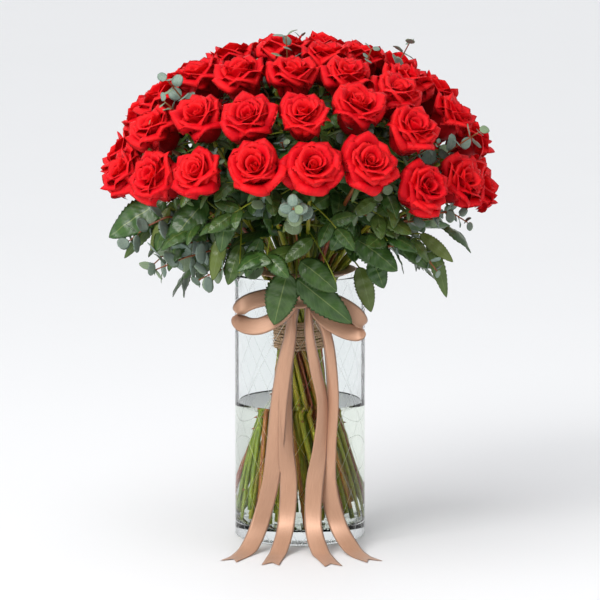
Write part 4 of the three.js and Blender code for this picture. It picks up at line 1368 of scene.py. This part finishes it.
# %% Satin
def satin_finish():
    """Rose-gold satin: a fine thread bump along the strip and a brushed, metallic-looking sheen."""
    finish, nodes, links, shader = finish_with("satin")
    threads = lie_noise(nodes, links, (90, 6), 1.0, 2.0)
    ramp = ramp_node(nodes, [(0.3, (0.47, 0.255, 0.16)), (0.7, (0.58, 0.335, 0.215))])
    links.new(threads.outputs["Fac"], ramp.inputs["Fac"])
    links.new(ramp.outputs["Color"], shader.inputs["Base Color"])
    shader.inputs["Metallic"].default_value = 0.22
    shader.inputs["Roughness"].default_value = 0.42
    shader.inputs["Anisotropic"].default_value = 0.6
    shader.inputs["Sheen Weight"].default_value = 0.15
    raised(nodes, links, threads.outputs["Fac"], 0.12, 0.2 * MM, [shader])
    return finish


SATIN = satin_finish()
print("satin nodes:", len(SATIN.node_tree.nodes))

# %% [markdown]
# Each strip is listed by a few stops. A smooth curve runs through them all, and the fold and the
# twist are columns of the same list, so they change as smoothly as the path does.

# %% Ribbon strips
RIBBON_WIDTH = 20.0 * MM
RIBBON_THICKNESS = 0.35 * MM
RIBBON_COLUMNS = 9


def smooth_path(stops, steps):
    """A curve through the given points (any number of columns), smooth at every one."""
    stops = np.asarray(stops, float)
    padded = np.concatenate([2 * stops[:1] - stops[1:2], stops, 2 * stops[-1:] - stops[-2:-1]])
    at = np.linspace(0, len(stops) - 1 - 1e-9, steps)
    k = at.astype(int)
    t = (at - k)[:, None]
    a, b, c, d = padded[k], padded[k + 1], padded[k + 2], padded[k + 3]
    square, cube = 2 * a - 5 * b + 4 * c - d, 3 * b - 3 * c + d - a
    return 0.5 * (2 * b + (c - a) * t + square * t ** 2 + cube * t ** 3)


def strip(name, path, across, fold, twist, notch, node):
    """A ribbon along a path. across is the width direction, fold how far both halves turn back,
    twist how far the whole strip turns about its path (all three one value per point). notch is
    the depth of the swallowtail cut."""
    rows, columns = len(path), RIBBON_COLUMNS
    u = np.linspace(-1, 1, columns)
    along = unit(np.gradient(path, axis=0))
    across = unit(across - along * np.sum(across * along, 1, keepdims=True))
    normal = np.cross(along, across)
    turned = across * np.cos(twist)[:, None] + normal * np.sin(twist)[:, None]
    facing = np.cross(along, turned)
    half = RIBBON_WIDTH / 2
    aside = np.cos(fold)[:, None] * u[None]
    back = -np.sin(fold)[:, None] * np.abs(u)[None] ** 1.3
    surface = path[:, None] + half * (turned[:, None] * aside[..., None] + facing[:, None] * back[..., None])
    share = smooth((np.linspace(0, 1, rows) - 0.9) / 0.1)[:, None]
    surface = surface + along[:, None] * (notch * share * (np.abs(u)[None] - 0.5))[..., None]
    points = lens_points(surface, -RIBBON_THICKNESS)
    metres = metres_along(path)
    uv = lens_values(np.stack([np.broadcast_to(u / 2 + 0.5, (rows, columns)),
                               np.broadcast_to(metres[:, None] / 0.1, (rows, columns))], -1))
    marks = np.full((len(points), 3), 0.5)
    piece = new_piece(name, points, lens_quads(rows, columns)[:, ::-1], [SATIN], uv, marks)
    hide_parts(node)
    print(name, "length", round(metres[-1] * 1000), "mm")


# %% [markdown]
# The four tails drop from the knot in front of the glass, spread, and run out over the table,
# where their ends are cut like a swallow's tail. Each row of a tail gives x, y and z in
# millimetres, then the fold and the twist in degrees.

# %% Tails
TAILS = {
    "ribbon_tail_left": [
        (-9, -83, 276, 62, 0), (-12, -84, 245, 45, 12), (-19, -83, 205, 20, 18),
        (-24, -82, 165, 10, 14), (-28, -82, 115, 4, 0), (-34, -83, 70, 3, -14),
        (-45, -90, 30, 2, -10), (-56, -108, 8, 1, -4), (-66, -128, 1.4, 0, 0),
        (-77, -152, 0.9, 0, 0),
    ],
    "ribbon_tail_left_inner": [
        (-5, -80, 276, 60, 0), (-7, -80, 245, 55, -20), (-12, -79, 205, 30, -32),
        (-15, -79, 165, 12, -34), (-15, -80, 115, 6, -28), (-13, -81, 70, 3, 8),
        (-16, -92, 28, 2, 12), (-23, -118, 6, 1, 5), (-28, -142, 1.3, 0, 0),
        (-32, -172, 0.9, 0, 0),
    ],
    "ribbon_tail_right_inner": [
        (10, -83, 276, 62, 0), (14, -83, 245, 52, -28), (21, -82, 205, 30, -44),
        (27, -83, 165, 12, -50), (23, -84, 115, 6, -34), (16, -84, 70, 3, 6),
        (15, -96, 28, 2, 14), (22, -122, 6, 1, 6), (29, -146, 1.3, 0, 0),
        (36, -178, 0.9, 0, 0),
    ],
    "ribbon_tail_right": [
        (14, -80, 276, 60, 0), (26, -80, 245, 50, 24), (32, -79, 205, 30, 40),
        (35, -80, 165, 14, 44), (32, -79, 115, 8, 34), (32, -80, 70, 4, 16),
        (42, -88, 30, 2, 6), (56, -108, 8, 1, 2), (67, -130, 1.4, 0, 0),
        (80, -154, 0.9, 0, 0),
    ],
}
for node, rows in TAILS.items():
    line = smooth_path(rows, 90)
    path, fold, twist = line[:, :3] * MM, np.radians(line[:, 3]), np.radians(line[:, 4])
    path[:, 2] = np.maximum(path[:, 2], 0.8 * MM)
    across = np.tile([1.0, 0, 0], (len(path), 1))
    strip(node + "_satin", path, across, fold, twist, 15 * MM, node)

# %% [markdown]
# The bow's two loops leave the knot, bulge and come back below. They stand open towards the front
# and lean back, so that both show the outside of the upper run and the inside of the lower one.

# %% Loops and knot
LOOPS = {
    "ribbon_loop_left": [(-6, -84, 286), (-24, -86, 288), (-44, -87, 286), (-61, -88, 280), (-70, -89, 270),
                         (-67, -90, 260), (-55, -91, 255), (-40, -91, 257), (-22, -89, 268), (-7, -87, 281)],
    "ribbon_loop_right": [(6, -84, 286), (25, -87, 286), (45, -89, 279), (62, -90, 268), (70, -90, 256),
                          (66, -89, 248), (53, -87, 249), (38, -86, 256), (20, -85, 268), (7, -84, 280)],
}
for node, stops in LOOPS.items():
    path = smooth_path(stops, 70) * MM
    left = node.endswith("left")
    lean = np.array([0.1, 0.4, 0.85]) if left else np.array([0.1, 0.4, 0.9])
    s = np.linspace(0, 1, len(path))
    fold = np.radians(58) * (1 - smooth(np.minimum(s, 1 - s) / 0.22))
    across = np.tile(lean, (len(path), 1))
    strip(node + "_satin", path, across, fold, 0 * s, 0.0, node)

KNOT_STEPS = 49
STRAP_STEPS = 24
KNOT_LOW, KNOT_HIGH = (np.array(corner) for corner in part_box("ribbon_knot"))
angle = np.linspace(0, 2 * np.pi, KNOT_STEPS)
up = np.tile([0.0, 0, 1.0], (KNOT_STEPS, 1))
wrap_path = [8.0 * np.cos(angle), -85.0 - 5.0 * np.sin(angle), 285 + 0.8 * np.sin(3 * angle)]
strip("ribbon_knot_wrap", np.stack(wrap_path, 1) * MM, up, np.full(KNOT_STEPS, 0.5), 0 * angle, 0.0,
      "ribbon_knot")
ring_radius = (KNOT_HIGH[0] - KNOT_LOW[0]) / 2 - 3 * MM
ring_path = np.stack([ring_radius * np.sin(angle), -ring_radius * np.cos(angle),
                      np.full(KNOT_STEPS, KNOT_HIGH[2] - 2 * MM)], 1)
strip("ribbon_neck", ring_path, up, np.full(KNOT_STEPS, math.radians(72)), 0.15 * np.sin(5 * angle), 0.0,
      "ribbon_knot")
strap_stops = [(0, -ring_radius / MM, 306), (0, -72, 310), (0, -79, 305), (0, -81, 290)]
strap_path = smooth_path(strap_stops, STRAP_STEPS) * MM
strip("ribbon_strap", strap_path, np.tile([1.0, 0, 0], (STRAP_STEPS, 1)), np.full(STRAP_STEPS, 1.0),
      np.zeros(STRAP_STEPS), 0.0, "ribbon_knot")

# %% Sizes and the last line
low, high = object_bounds()
print("the visual model's box:", [round(v, 3) for v in low], [round(v, 3) for v in high])
